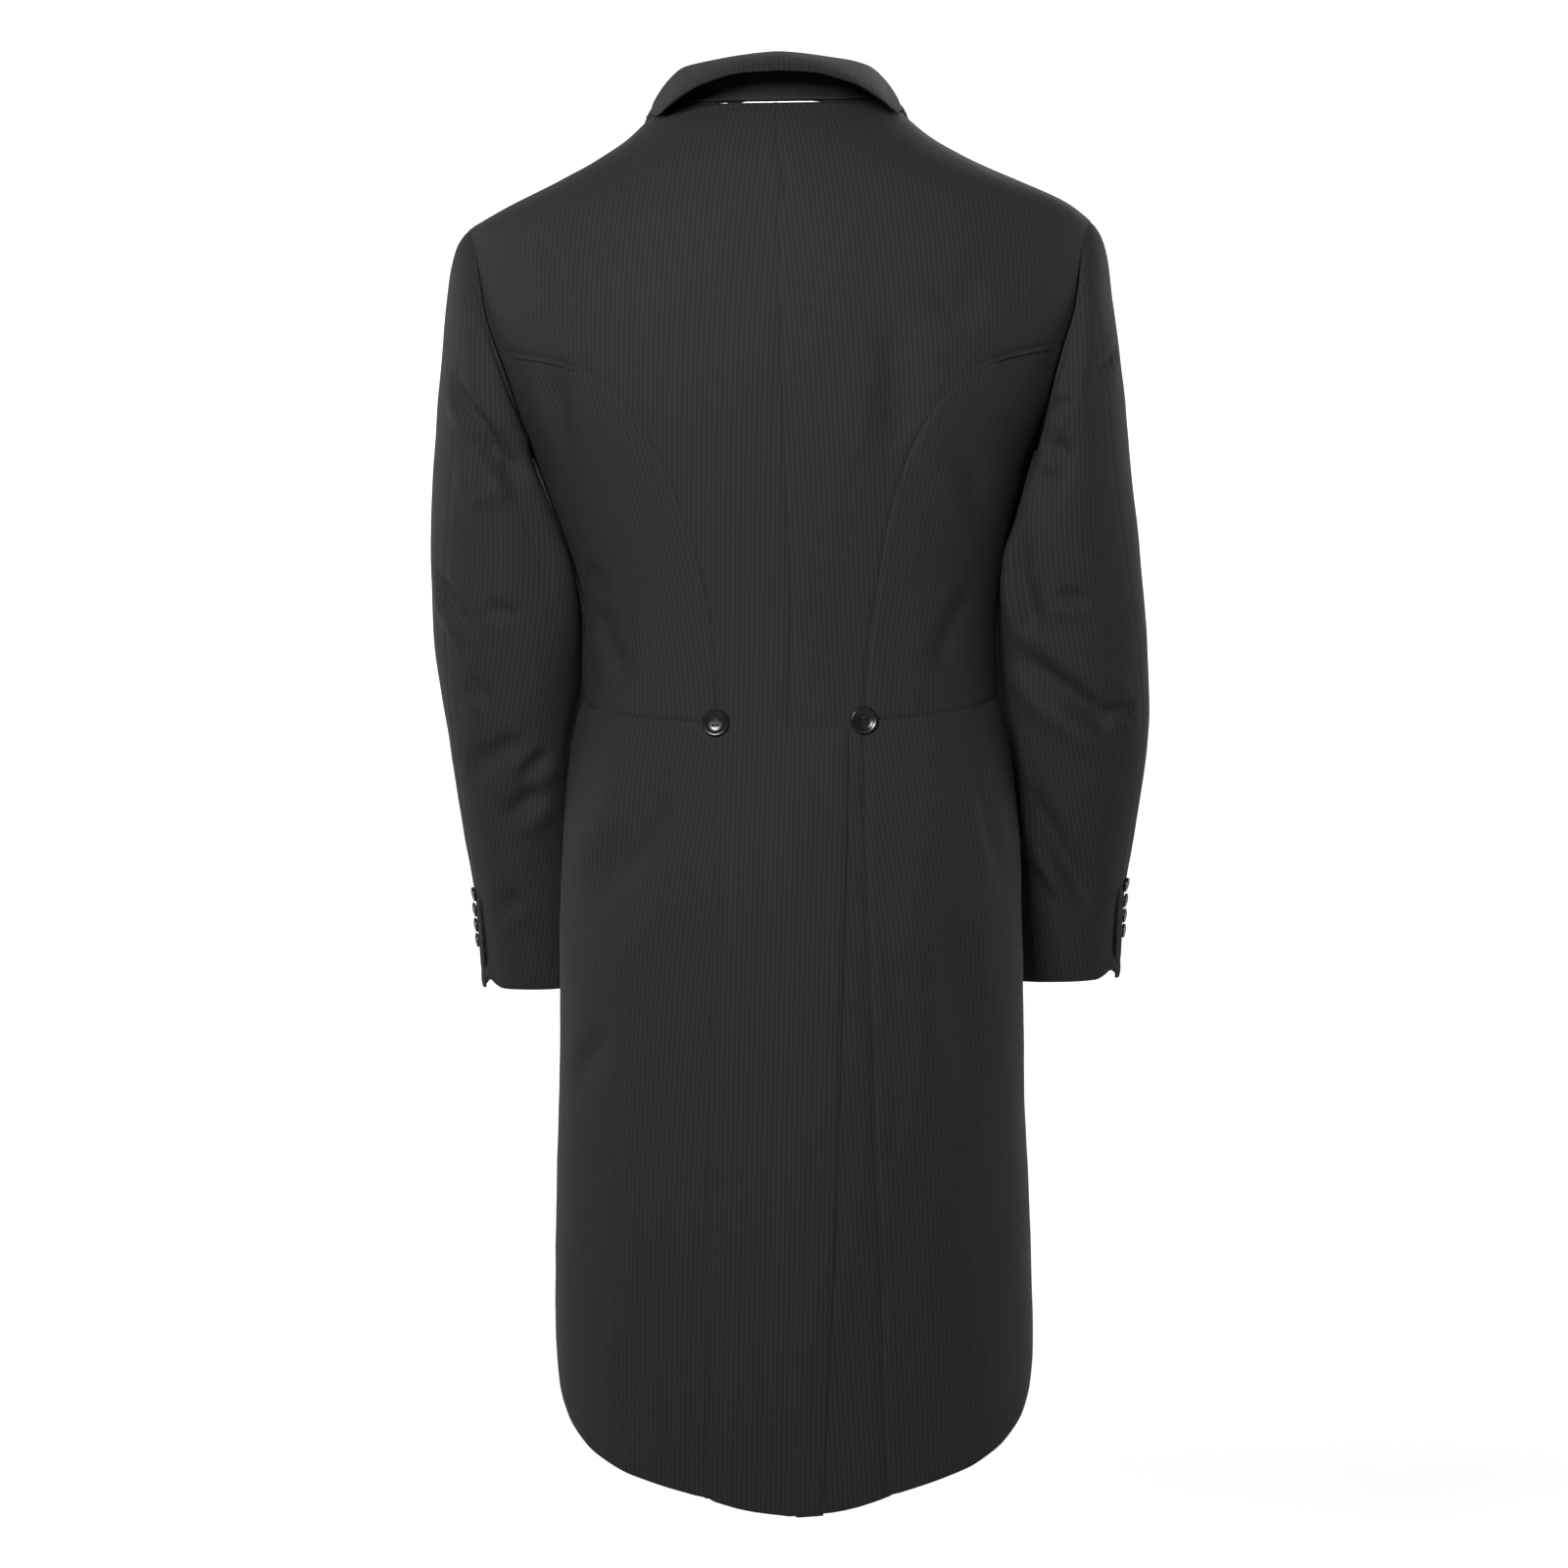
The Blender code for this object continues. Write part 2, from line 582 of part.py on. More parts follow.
def sleeve_point(side, ring, step):
    """Point of the sleeve, which takes the armhole's own shape at its head."""
    turn = 2 * math.pi * step / ARMHOLE_STEPS
    fade = 1 - soft_step(ring / HEAD_RINGS)
    own = armhole_point(side, step) - sleeve_ring(side, 0, turn)
    twisted = turn - SLEEVE_TWIST * soft_step(ring / SLEEVE_RINGS)
    point = sleeve_ring(side, ring, twisted)
    middle = (sleeve_ring(side, ring, 0.0) + sleeve_ring(side, ring, math.pi)) / 2
    out = (point - middle).normalized()
    point = point - out * sleeve_folds(side, ring, step) + own * fade
    return clear_of_body(side, point) if ring > 0 else point


def sleeve_folds(side, ring, step):
    """How far the creases of one sleeve draw its cloth in."""
    depth = 0.0
    for row in SLEEVE_FOLDS:
        if row[0] != side:
            continue
        for lap in (-ARMHOLE_STEPS, 0, ARMHOLE_STEPS):
            place = (ring * RING_SPACING, (step + lap) * STEP_SPACING)
            start = (row[1] * RING_SPACING, row[2] * STEP_SPACING)
            end = (row[3] * RING_SPACING, row[4] * STEP_SPACING)
            depth += trough(*place, start, end, row[5], row[6])
    return depth


def clear_of_body(side, point):
    """Flattens the sleeve where it lies against the side of the body."""
    z = point.z
    power, side_y = BODY["power"](z), BODY["side_y"](z)
    reach = BODY["back_y"](z) - side_y if point.y > side_y else side_y - BODY["front_y"](z)
    share = abs(point.y - side_y) / reach
    if share >= 1:
        return point
    limit = BODY["half_width"](z) * (1 - share**power) ** (1 / power) + SLEEVE_CLEARANCE
    over = (point.x - BODY["sway"](z)) * side - limit
    held = (over + math.sqrt(over * over + 4 * SLEEVE_SOFTNESS**2)) / 2
    return Vector((point.x + side * (held - over), point.y, z))


class Armhole:
    """Where a sleeve meets the body: the seam line, and the plane that parts them."""

    def __init__(self, side):
        self.points, self.inward, self.across = [], [], []
        middle = sum((armhole_point(side, s) for s in range(ARMHOLE_STEPS)), Vector()) / ARMHOLE_STEPS
        for step in range(ARMHOLE_STEPS):
            point = armhole_point(side, step)
            tangent = (armhole_point(side, step + 1) - armhole_point(side, step - 1)).normalized()
            angle, z = armhole(step)
            body_out = body_normal(side * angle, z)
            onward = sleeve_point(side, 1, step) - point
            sleeve_out = tangent.cross(onward).normalized()
            if sleeve_out.dot(point - middle) < 0:
                sleeve_out.negate()
            half = (body_out + sleeve_out).normalized()
            spread = max(half.dot(body_out), 0.5)
            across = tangent.cross(half).normalized()
            if across.dot(onward) < 0:
                across.negate()
            self.points.append(point)
            self.inward.append(half * (-CLOTH / spread))
            self.across.append(across)

    def body_side(self, step, general):
        """Outer and inner point of the body's edge, with the shift along the seam kept."""
        step %= ARMHOLE_STEPS
        shift = general - self.points[step]
        across = self.across[step]
        outer = self.points[step] + shift - across * shift.dot(across) - across * (SEAM_GAP / 2)
        return outer, outer + self.inward[step]

    def sleeve_side(self, step):
        step %= ARMHOLE_STEPS
        outer = self.points[step] + self.across[step] * (SEAM_GAP / 2)
        return outer, outer + self.inward[step]


def sleeve_wall(side, name, steps, hole, finish, lap=False, round_corner=False):
    """One piece of a sleeve between two of its long seams."""
    last = len(steps) - 1
    rows = []
    for ring in range(SLEEVE_RINGS + 1):
        rows.append([])
        for column, step in enumerate(steps):
            level = ring
            if round_corner and ring == SLEEVE_RINGS:
                level -= CORNER_RINGS * max(0.0, 1 - column / CORNER_COLUMNS) ** 2
            rows[ring].append(sleeve_point(side, level, step))
    normals = [[sleeve_normal(side, ring, step) for step in steps] for ring in range(SLEEVE_RINGS + 1)]
    if lap:
        for ring in range(VENT_RING, SLEEVE_RINGS + 1):
            lift = CUFF_LIFTS[ring - VENT_RING]
            rows[ring][last - 1] += normals[ring][last - 1] * lift
            rows[ring][last] += normals[ring][last] * lift
    cells = whole
    if lap:
        def cells(row, column):
            return column < last - 1 or row > VENT_RING
    outer = part_seams(rows, normals, -side, cells)
    inner = [
        [point - normal * CLOTH for point, normal in zip(points, row)]
        for points, row in zip(outer, normals)
    ]
    for column, step in enumerate(steps):
        if step == int(step):
            outer[0][column], inner[0][column] = head_edge(hole, int(step), outer[0][column])
    return wall(name, outer, inner, finish, cells)


def head_edge(hole, step, general):
    """The sleeve's edge at the armhole, with its shift along the seam kept."""
    step %= ARMHOLE_STEPS
    base, base_inner = hole.sleeve_side(step)
    shift = general - hole.points[step]
    across = hole.across[step]
    along = shift - across * shift.dot(across)
    return base + along, base_inner + along


def sleeve_normal(side, ring, step):
    low, high = max(ring - NORMAL_REACH, 0), min(ring + NORMAL_REACH, SLEEVE_RINGS)
    fore, hind = step - NORMAL_REACH, step + NORMAL_REACH
    around = sleeve_point(side, ring, hind) - sleeve_point(side, ring, fore)
    down = sleeve_point(side, high, step) - sleeve_point(side, low, step)
    return (down.cross(around) * side).normalized()


def make_sleeves(side, hole, finish):
    top = list(range(FORE_SEAM - ARMHOLE_STEPS, HIND_SEAM + 1))
    lap_steps = CUFF_VENT_LAP / (2 * math.pi) * ARMHOLE_STEPS
    sleeve_wall(side, "sleeve_top_" + SIDES[side], top + [HIND_SEAM + lap_steps], hole, finish, lap=True)
    under = list(range(HIND_SEAM, FORE_SEAM + 1))
    sleeve_wall(side, "sleeve_under_" + SIDES[side], under, hole, finish, round_corner=True)


# ---------------------------------------------------------------- pieces of the body


def raise_net(net, side, lift_at):
    """Points and normals of a net of (angle, z) places of the left half, on either side."""
    points, normals = [], []
    for row in net:
        points.append([])
        normals.append([])
        for angle, z in row:
            normal = body_normal(side * angle, z)
            flat = plain_body(side * angle, z)
            normals[-1].append(normal)
            points[-1].append(flat + normal * (lift_at(flat, z) - back_folds(flat)))
    return points, normals


def no_lift(point, z):
    return 0.0


def front_lap(point, z):
    """The left front lies over the right one."""
    x = point.x - BODY["sway"](z)
    return FRONT_LAP_LIFT * soft_step((FRONT_LAP_START - x) / FRONT_LAP_RUN) if point.y < 0 else 0.0


def back_lap(point, z):
    """The left tail lies over the right one below the waist."""
    x = point.x - BODY["sway"](z)
    below = soft_step((WAIST_BUTTON_Z - z) / (WAIST_BUTTON_Z - VENT_TOP_Z))
    return BACK_LAP_LIFT * soft_step((BACK_LAP_START - x) / BACK_LAP_RUN) * below


def cloth_piece(name, net, side, hole, hole_places, finish, lift_at=no_lift, cells=whole):
    """A body piece: its wall, with the edge at the armhole cut to meet the sleeve."""
    points, normals = raise_net(net, side, lift_at)
    outer = part_seams(points, normals, side, cells)
    inner = [[p - n * CLOTH for p, n in zip(*rows)] for rows in zip(outer, normals)]
    for (row, column), step in hole_places.items():
        outer[row][column], inner[row][column] = hole.body_side(step, outer[row][column])
    return wall(name, outer, inner, finish, cells)


def make_back(side, hole, finish):
    outer_edge = (
        shoulder_seam()
        + [armhole(s) for s in range(1, SIDE_BODY_STEP + 1)]
        + side_body_seam()[1:]
        + tail_seam()[1:]
    )
    armhole_end = armhole(SIDE_BODY_STEP)[1] - CENTRE_BACK_DROP
    upper = between(NECK(0.0), armhole(0)[1] - CENTRE_BACK_DROP, SHOULDER_ROWS)
    upper += between(upper[-1], armhole_end, SIDE_BODY_STEP)[1:]
    upper += between(armhole_end, WAIST_BUTTON_Z, SIDE_ROWS)[1:]
    foot = LOWER(0.0)
    centre = [(0.0, z) for z in upper + tail_levels(foot)[1:]]
    neck = [(a, NECK(a)) for a in between(0.0, math.pi / 2, BACK_COLUMNS)]
    hem = [(a, LOWER(a)) for a in between(0.0, outer_edge[-1][0], BACK_COLUMNS)]
    net = patch(neck, hem, centre, outer_edge)
    places = {(SHOULDER_ROWS + s, BACK_COLUMNS): s for s in range(SIDE_BODY_STEP + 1)}
    name = "back_" + SIDES[side]
    if side < 0:
        return cloth_piece(name, net, side, hole, places, finish)
    vent_row = len(upper)
    shift = VENT_COLUMNS
    wide = []
    for row, line in enumerate(net):
        z = float(line[0][1])
        edge = back_angle(VENT(z), z)
        extra = [(edge * (shift - c) / shift, z) for c in range(shift)]
        wide.append(extra + [tuple(place) for place in line])
    places = {(row, column + shift): step for (row, column), step in places.items()}

    def cells(row, column):
        return column >= shift or row >= vent_row

    return cloth_piece(name, wide, side, hole, places, finish, back_lap, cells)


def make_side_body(side, hole, finish):
    left, right = side_body_seam(), underarm_seam()
    top = [armhole(s) for s in range(SIDE_BODY_STEP, UNDERARM_STEP + 1)]
    columns = UNDERARM_STEP - SIDE_BODY_STEP
    bottom = waist_seam(left[-1][0], right[-1][0], columns)
    bottom[0] = left[-1]
    net = patch(top, bottom, left, right)
    places = {(0, s - SIDE_BODY_STEP): s for s in range(SIDE_BODY_STEP, UNDERARM_STEP + 1)}
    return cloth_piece("side_body_" + SIDES[side], net, side, hole, places, finish)


def make_front(side, hole, finish):
    hole_rows = ARMHOLE_STEPS - UNDERARM_STEP
    outer_edge = (
        shoulder_seam()
        + [armhole(s) for s in range(ARMHOLE_STEPS - 1, UNDERARM_STEP - 1, -1)]
        + underarm_seam()[1:]
    )
    end_z = WAIST(math.pi)
    levels = between(ROLL_TOP[1], FRONT_EDGE_SHOULDER_Z, SHOULDER_ROWS)
    levels += between(FRONT_EDGE_SHOULDER_Z, FRONT_EDGE_UNDERARM_Z, hole_rows)[1:]
    levels += between(FRONT_EDGE_UNDERARM_Z, end_z, SIDE_ROWS)[1:]
    edge = front_edge(levels)
    neck = [(a, NECK(a)) for a in between(math.pi / 2, edge[0][0], FRONT_COLUMNS)]
    neck[-1] = edge[0]
    waist = waist_seam(outer_edge[-1][0], edge[-1][0], FRONT_COLUMNS)
    waist[-1] = edge[-1]
    net = patch(neck, waist, outer_edge, edge)
    places = {(SHOULDER_ROWS + i, 0): ARMHOLE_STEPS - i for i in range(hole_rows + 1)}
    lift = front_lap if side > 0 else no_lift
    return cloth_piece("front_" + SIDES[side], net, side, hole, places, finish, lift)


def make_skirt(side, finish):
    back_edge = tail_seam()
    front_end = front_angle(ROLL_END[0], WAIST(math.pi))
    side_columns = UNDERARM_STEP - SIDE_BODY_STEP
    top = waist_seam(back_edge[0][0], UNDERARM_WAIST, side_columns)
    top += waist_seam(UNDERARM_WAIST, front_end, FRONT_COLUMNS)[1:]
    top[0] = back_edge[0]
    start = back_edge[-1][0]
    low = [start + (a - top[0][0]) * (front_end - start) / (front_end - top[0][0]) for a, _ in top]
    bottom = [(a, LOWER(a)) for a in low]
    bottom[0] = back_edge[-1]
    front = list(zip([front_end] * len(back_edge), between(top[-1][1], bottom[-1][1], TAIL_ROWS)))
    net = patch(top, bottom, back_edge, front)
    lap = front_lap if side > 0 else no_lift

    def lift(point, z):
        x = (point.x - BODY["sway"](z)) * side
        tuck = 1 - soft_step((x - TAIL(z)) / PLEAT_WIDTH) if point.y > 0 else 0.0
        return lap(point, z) - PLEAT_DEPTH * tuck * soft_step((WAIST_BUTTON_Z - z) / PLEAT_START)

    return cloth_piece("skirt_" + SIDES[side], net, side, None, {}, finish, lift)


# ---------------------------------------------------------------- lapels and collar


def roll_x(side, z):
    """The lapel's inner edge. The right one stays beside the left front, which laps over it."""
    if side > 0:
        return front_edge_x(z)
    return max(front_edge_x(z), LAPEL_INSET - front_edge_x(z))


def make_lapel(side, finish):
    end_z = LAPEL_END_Z
    roll = [(roll_x(side, z), z) for z in between(ROLL_TOP[1] - LAPEL_TOP_GAP, end_z, LAPEL_ROWS)]
    end_x = roll[-1][0] + LAPEL_END_WIDTH
    outer = []
    for z in between(LAPEL_PEAK[1], end_z, LAPEL_ROWS):
        outer.append((max(LAPEL_OUTER(z), roll_x(side, z) + LAPEL_END_WIDTH), z))
    half = LAPEL_COLUMNS // 2
    gorge = list(zip(between(roll[0][0], LAPEL_GORGE[0], half), between(roll[0][1], LAPEL_GORGE[1], half)))
    peak = list(
        zip(
            between(LAPEL_GORGE[0], LAPEL_PEAK[0], LAPEL_COLUMNS - half),
            between(LAPEL_GORGE[1], LAPEL_PEAK[1], LAPEL_COLUMNS - half),
        )
    )
    foot = list(zip(between(roll[-1][0], end_x, LAPEL_COLUMNS), [end_z] * (LAPEL_COLUMNS + 1)))
    net = patch(gorge + peak[1:], foot, roll, outer)
    places = [[(front_angle(x, z), z) for x, z in row] for row in net]
    base = front_lap if side > 0 else no_lift

    def lift(point, z):
        out = (point.x - BODY["sway"](z)) * side - roll_x(side, z)
        grown = soft_step(out / LAPEL_LIFT_WIDTH)
        return base(point, z) + CLOTH + LAPEL_ROLL_LIFT + (LAPEL_LIFT - LAPEL_ROLL_LIFT) * grown

    return cloth_piece("lapel_" + SIDES[side], places, side, None, {}, finish, lift)


def collar_profile(angle):
    """Points up the stand, over the fold and down the fall, on the side away from the neck."""
    side = 1 if angle >= 0 else -1
    turn = abs(angle)
    z = NECK(turn)
    seam = plain_body(angle, z)
    normal = body_normal(angle, z)
    ahead, behind = angle + NECK_REACH, angle - NECK_REACH
    along = plain_body(ahead, NECK(abs(ahead))) - plain_body(behind, NECK(abs(behind)))
    up_cloth = along.cross(normal).normalized()
    if up_cloth.z < 0:
        up_cloth.negate()
    out = Vector((normal.x, normal.y, 0.0)).normalized()
    up = Vector((0, 0, 1))
    height, lean = COLLAR_STAND["height"](turn), COLLAR_STAND["lean"](turn)
    if turn <= math.pi / 2:
        edge = seam + out * COLLAR_EDGE["out"](turn) + up * COLLAR_EDGE["up"](turn)
        edge_normal = (out + up).normalized()
    else:
        x, edge_z = COLLAR_FRONT["x"](turn), COLLAR_FRONT["z"](turn)
        place = front_angle(x, edge_z) * side
        edge_normal = body_normal(place, edge_z)
        edge = plain_body(place, edge_z) + edge_normal * FALL_LIFT
    fold = seam + up * height - out * lean
    fall = edge - fold
    reach = fall.normalized()
    bulge = (edge_normal + out * 0.3 + up).normalized() * FALL_BULGE
    points = [seam + up_cloth * (SEAM_GAP / 2)]
    points += [seam + up * height * rise - out * lean * tilt for rise, tilt in STAND_PROFILE]
    points.append(fold + up * FOLD_ROUND * 0.6 + reach * FOLD_ROUND * 0.4)
    points.append(fold + fall * 0.12 + up * FOLD_ROUND * 0.9)
    points += [fold + fall * way + bulge * swell for way, swell in FALL_PROFILE]
    points.append(edge)
    return points, normal


def make_collar(finish):
    end = front_angle(*ROLL_TOP)
    half = between(0.0, math.pi / 2, BACK_COLUMNS) + between(math.pi / 2, end, FRONT_COLUMNS)[1:]
    stations = [-angle for angle in reversed(half)] + half[1:]
    profiles, body_out = zip(*[collar_profile(angle) for angle in stations])
    under = [list(row) for row in zip(*profiles)]
    normals = surface_normals(under)
    over = [[p + n * COLLAR_CLOTH for p, n in zip(*rows)] for rows in zip(under, normals)]
    for column, normal in enumerate(body_out):
        over[0][column] = under[0][column] - normal * CLOTH
    return wall("collar", under, over, finish)


# ---------------------------------------------------------------- buttons


def button_profile(across):
    """Half section of a dished button with a raised rim, from its foot to its middle."""
    half, thick = across / 2, across * 0.19
    return (
        (0.0, 0.0), (half * 0.80, 0.0), (half * 0.97, thick * 0.30), (half, thick * 0.62),
        (half * 0.90, thick), (half * 0.76, thick * 0.92), (half * 0.62, thick * 0.55), (0.0, thick * 0.50),
    )


def make_buttons(finish):
    profile = button_profile(BUTTON_ACROSS)
    z = WAIST_BUTTON_Z
    for side, name in SIDES.items():
        angle = back_angle(side * TAIL(z), z)
        normal = body_normal(angle, z)
        place = plain_body(angle, z) + normal * BUTTON_CLEARANCE
        turned("back_button_" + name, profile, BUTTON_SIDES, place, normal, finish)
    x, z = FRONT_BUTTON
    angle = front_angle(x, z)
    normal = body_normal(angle, z)
    place = plain_body(angle, z)
    lift = front_lap(place, z) + BUTTON_CLEARANCE
    turned("front_button", profile, BUTTON_SIDES, place + normal * lift, normal, finish)


def make_cuff_buttons(side, finish):
    profile = button_profile(CUFF_BUTTON_ACROSS)
    for number in range(CUFF_BUTTONS):
        ring = CUFF_BUTTON_RING + number * CUFF_BUTTON_PITCH / CUFF_RING_SPACING
        normal = sleeve_normal(side, ring, CUFF_BUTTON_STEP)
        lift = float(np.interp(ring - VENT_RING, range(len(CUFF_LIFTS)), CUFF_LIFTS))
        place = sleeve_point(side, ring, CUFF_BUTTON_STEP) + normal * (lift + CUFF_BUTTON_CLEARANCE)
        name = "cuff_button_%s_%d" % (SIDES[side], number + 1)
        turned(name, profile, CUFF_BUTTON_SIDES, place, normal, finish)


def main():
    for thing in list(bpy.data.objects):
        bpy.data.objects.remove(thing, do_unlink=True)
    wool = material("black_wool", (0.030, 0.030, 0.033), 0.85)
    horn = material("black_button", (0.012, 0.012, 0.013), 0.25)
    for side in SIDES:
        hole = Armhole(side)
        make_back(side, hole, wool)
        make_side_body(side, hole, wool)
        make_front(side, hole, wool)
        make_skirt(side, wool)
        make_lapel(side, wool)
        make_sleeves(side, hole, wool)
        make_cuff_buttons(side, horn)
    make_collar(wool)
    make_buttons(horn)


main()
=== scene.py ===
"""Dresses a morning coat: woven wool with soft creases, hand stitches and polished buttons.

Every length is in metres, +Z is up and the back of the coat faces +Y. Each piece of cloth
starts from the outer face of its own solid, is made finer, creased and given its thickness.
"""

import json
import math

import bmesh
import bpy
import numpy as np
from mathutils import Matrix, Vector, noise
from mathutils.bvhtree import BVHTree
from mathutils.kdtree import KDTree

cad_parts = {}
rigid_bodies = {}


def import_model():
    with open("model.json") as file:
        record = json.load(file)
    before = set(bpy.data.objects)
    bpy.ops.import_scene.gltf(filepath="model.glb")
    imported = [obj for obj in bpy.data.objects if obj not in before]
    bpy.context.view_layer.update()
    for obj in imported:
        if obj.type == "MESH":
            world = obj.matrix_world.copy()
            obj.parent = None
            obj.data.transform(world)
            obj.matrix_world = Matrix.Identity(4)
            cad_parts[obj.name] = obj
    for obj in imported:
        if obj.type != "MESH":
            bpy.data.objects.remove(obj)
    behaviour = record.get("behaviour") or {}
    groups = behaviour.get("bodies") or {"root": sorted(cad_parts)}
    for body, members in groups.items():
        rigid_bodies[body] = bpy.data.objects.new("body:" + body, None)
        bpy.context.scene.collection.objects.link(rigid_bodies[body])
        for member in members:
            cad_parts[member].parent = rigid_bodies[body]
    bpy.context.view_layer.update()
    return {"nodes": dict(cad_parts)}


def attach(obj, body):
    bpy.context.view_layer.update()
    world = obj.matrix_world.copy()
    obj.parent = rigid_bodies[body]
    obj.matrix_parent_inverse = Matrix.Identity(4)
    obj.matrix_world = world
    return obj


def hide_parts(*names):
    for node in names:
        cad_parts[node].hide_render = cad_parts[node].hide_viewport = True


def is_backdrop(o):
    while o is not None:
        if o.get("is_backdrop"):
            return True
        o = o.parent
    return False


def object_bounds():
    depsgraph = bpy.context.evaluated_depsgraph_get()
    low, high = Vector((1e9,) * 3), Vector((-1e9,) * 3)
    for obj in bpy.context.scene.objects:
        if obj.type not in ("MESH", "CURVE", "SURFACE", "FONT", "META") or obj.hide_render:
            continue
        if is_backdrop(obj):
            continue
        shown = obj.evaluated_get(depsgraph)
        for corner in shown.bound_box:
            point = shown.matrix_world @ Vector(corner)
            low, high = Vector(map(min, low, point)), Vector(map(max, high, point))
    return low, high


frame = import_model()

bl_info = {
    "name": "Morning coat",
    "version": (1, 0, 0),
    "blender": (4, 5, 0),
    "location": "View3D > Sidebar > Coat",
    "description": "Builds a tailored morning coat with its creases, stitches and buttons",
    "category": "Object",
}

SIDES = ("left", "right")
UP = Vector((0.0, 0.0, 1.0))
SIDEWAYS = Vector((0.0, 1.0, 0.0))
FROM_BACK = Vector((0.0, -1.0, 0.0))

# Finding a solid's outer face: a ray starts just behind each face and looks for the wall's
# other face, which faces the other way.
JUST_BEHIND = 1e-5
WALL_REACH = 1.5  # in thicknesses of the cloth
OPPOSITE = -0.7
SMOOTH_ANGLE = 0.45
SLEEVE_BAND = 0.03
COLLAR_DROP = 0.06

# Making the sheets fine. The edges relax in the first rounds only.
FINE_LEVELS = 3
RELAX_ROUNDS = 36
RELAX_SHARE = 0.5
EDGE_ROUNDS = 8
CORNER_ANGLE = math.radians(140)

# The stretch of the sleeves that leans on the body, the length over which the lean sets in,
# how far off the body it still acts, and the gap that it leaves.
LEAN_LOW, LEAN_HIGH = -0.42, -0.17
LEAN_RUN = 0.08
LEAN_REACH = 0.034
LEAN_REST = 0.0022

# Creases and waves. Widths and places across a crease are in its half widths.
CREASE_STEP = 0.004
CREASE_LEAST = 3  # a shorter row of places is left out
CREASE_MARGIN = 4
CREASE_END = 1.5
CREASE_RISE = 3.0
CREASE_REACH = 0.02
FACING_LEAST = 0.1
RIDGE_PLACE, RIDGE_WIDTH = 1.9, 1.1
LEE_PLACE, LEE_WIDTH, LEE_SHARE = 2.1, 1.3, 0.3
BODY_CREASE_SHARE = 0.65
WAVE_SCALE = 22.0
WAVE_HEIGHT = 0.0006
SMALL_WAVE_SCALE, SMALL_WAVE_SHARE = 2.3, 0.4

# Seams and edges
SEW_REACH = 0.0062
SEW_SPREAD = 0.009
SEW_STEPS = 4
SEAM_DIP = 0.0009
SEAM_REACH = 0.0028
SEAM_CLOSE = 0.0001
COLLAR_TUCK = 0.0026
EDGE_ROUND = 0.00072

# Weave
WEAVE_RELIEF = 0.00012
RIB_STRENGTH, STRIPE_STRENGTH, FLECK_STRENGTH = 0.30, 0.45, 0.30
STRIPE_RELIEF, FLECK_RELIEF = 0.7, 0.8  # beside the rib's relief
FLECK_SCALE = 1400.0

BODY_PARTS = ("back", "side_body", "front", "skirt", "lapel", "collar")
SLEEVE_PARTS = ("sleeve_top", "sleeve_under")

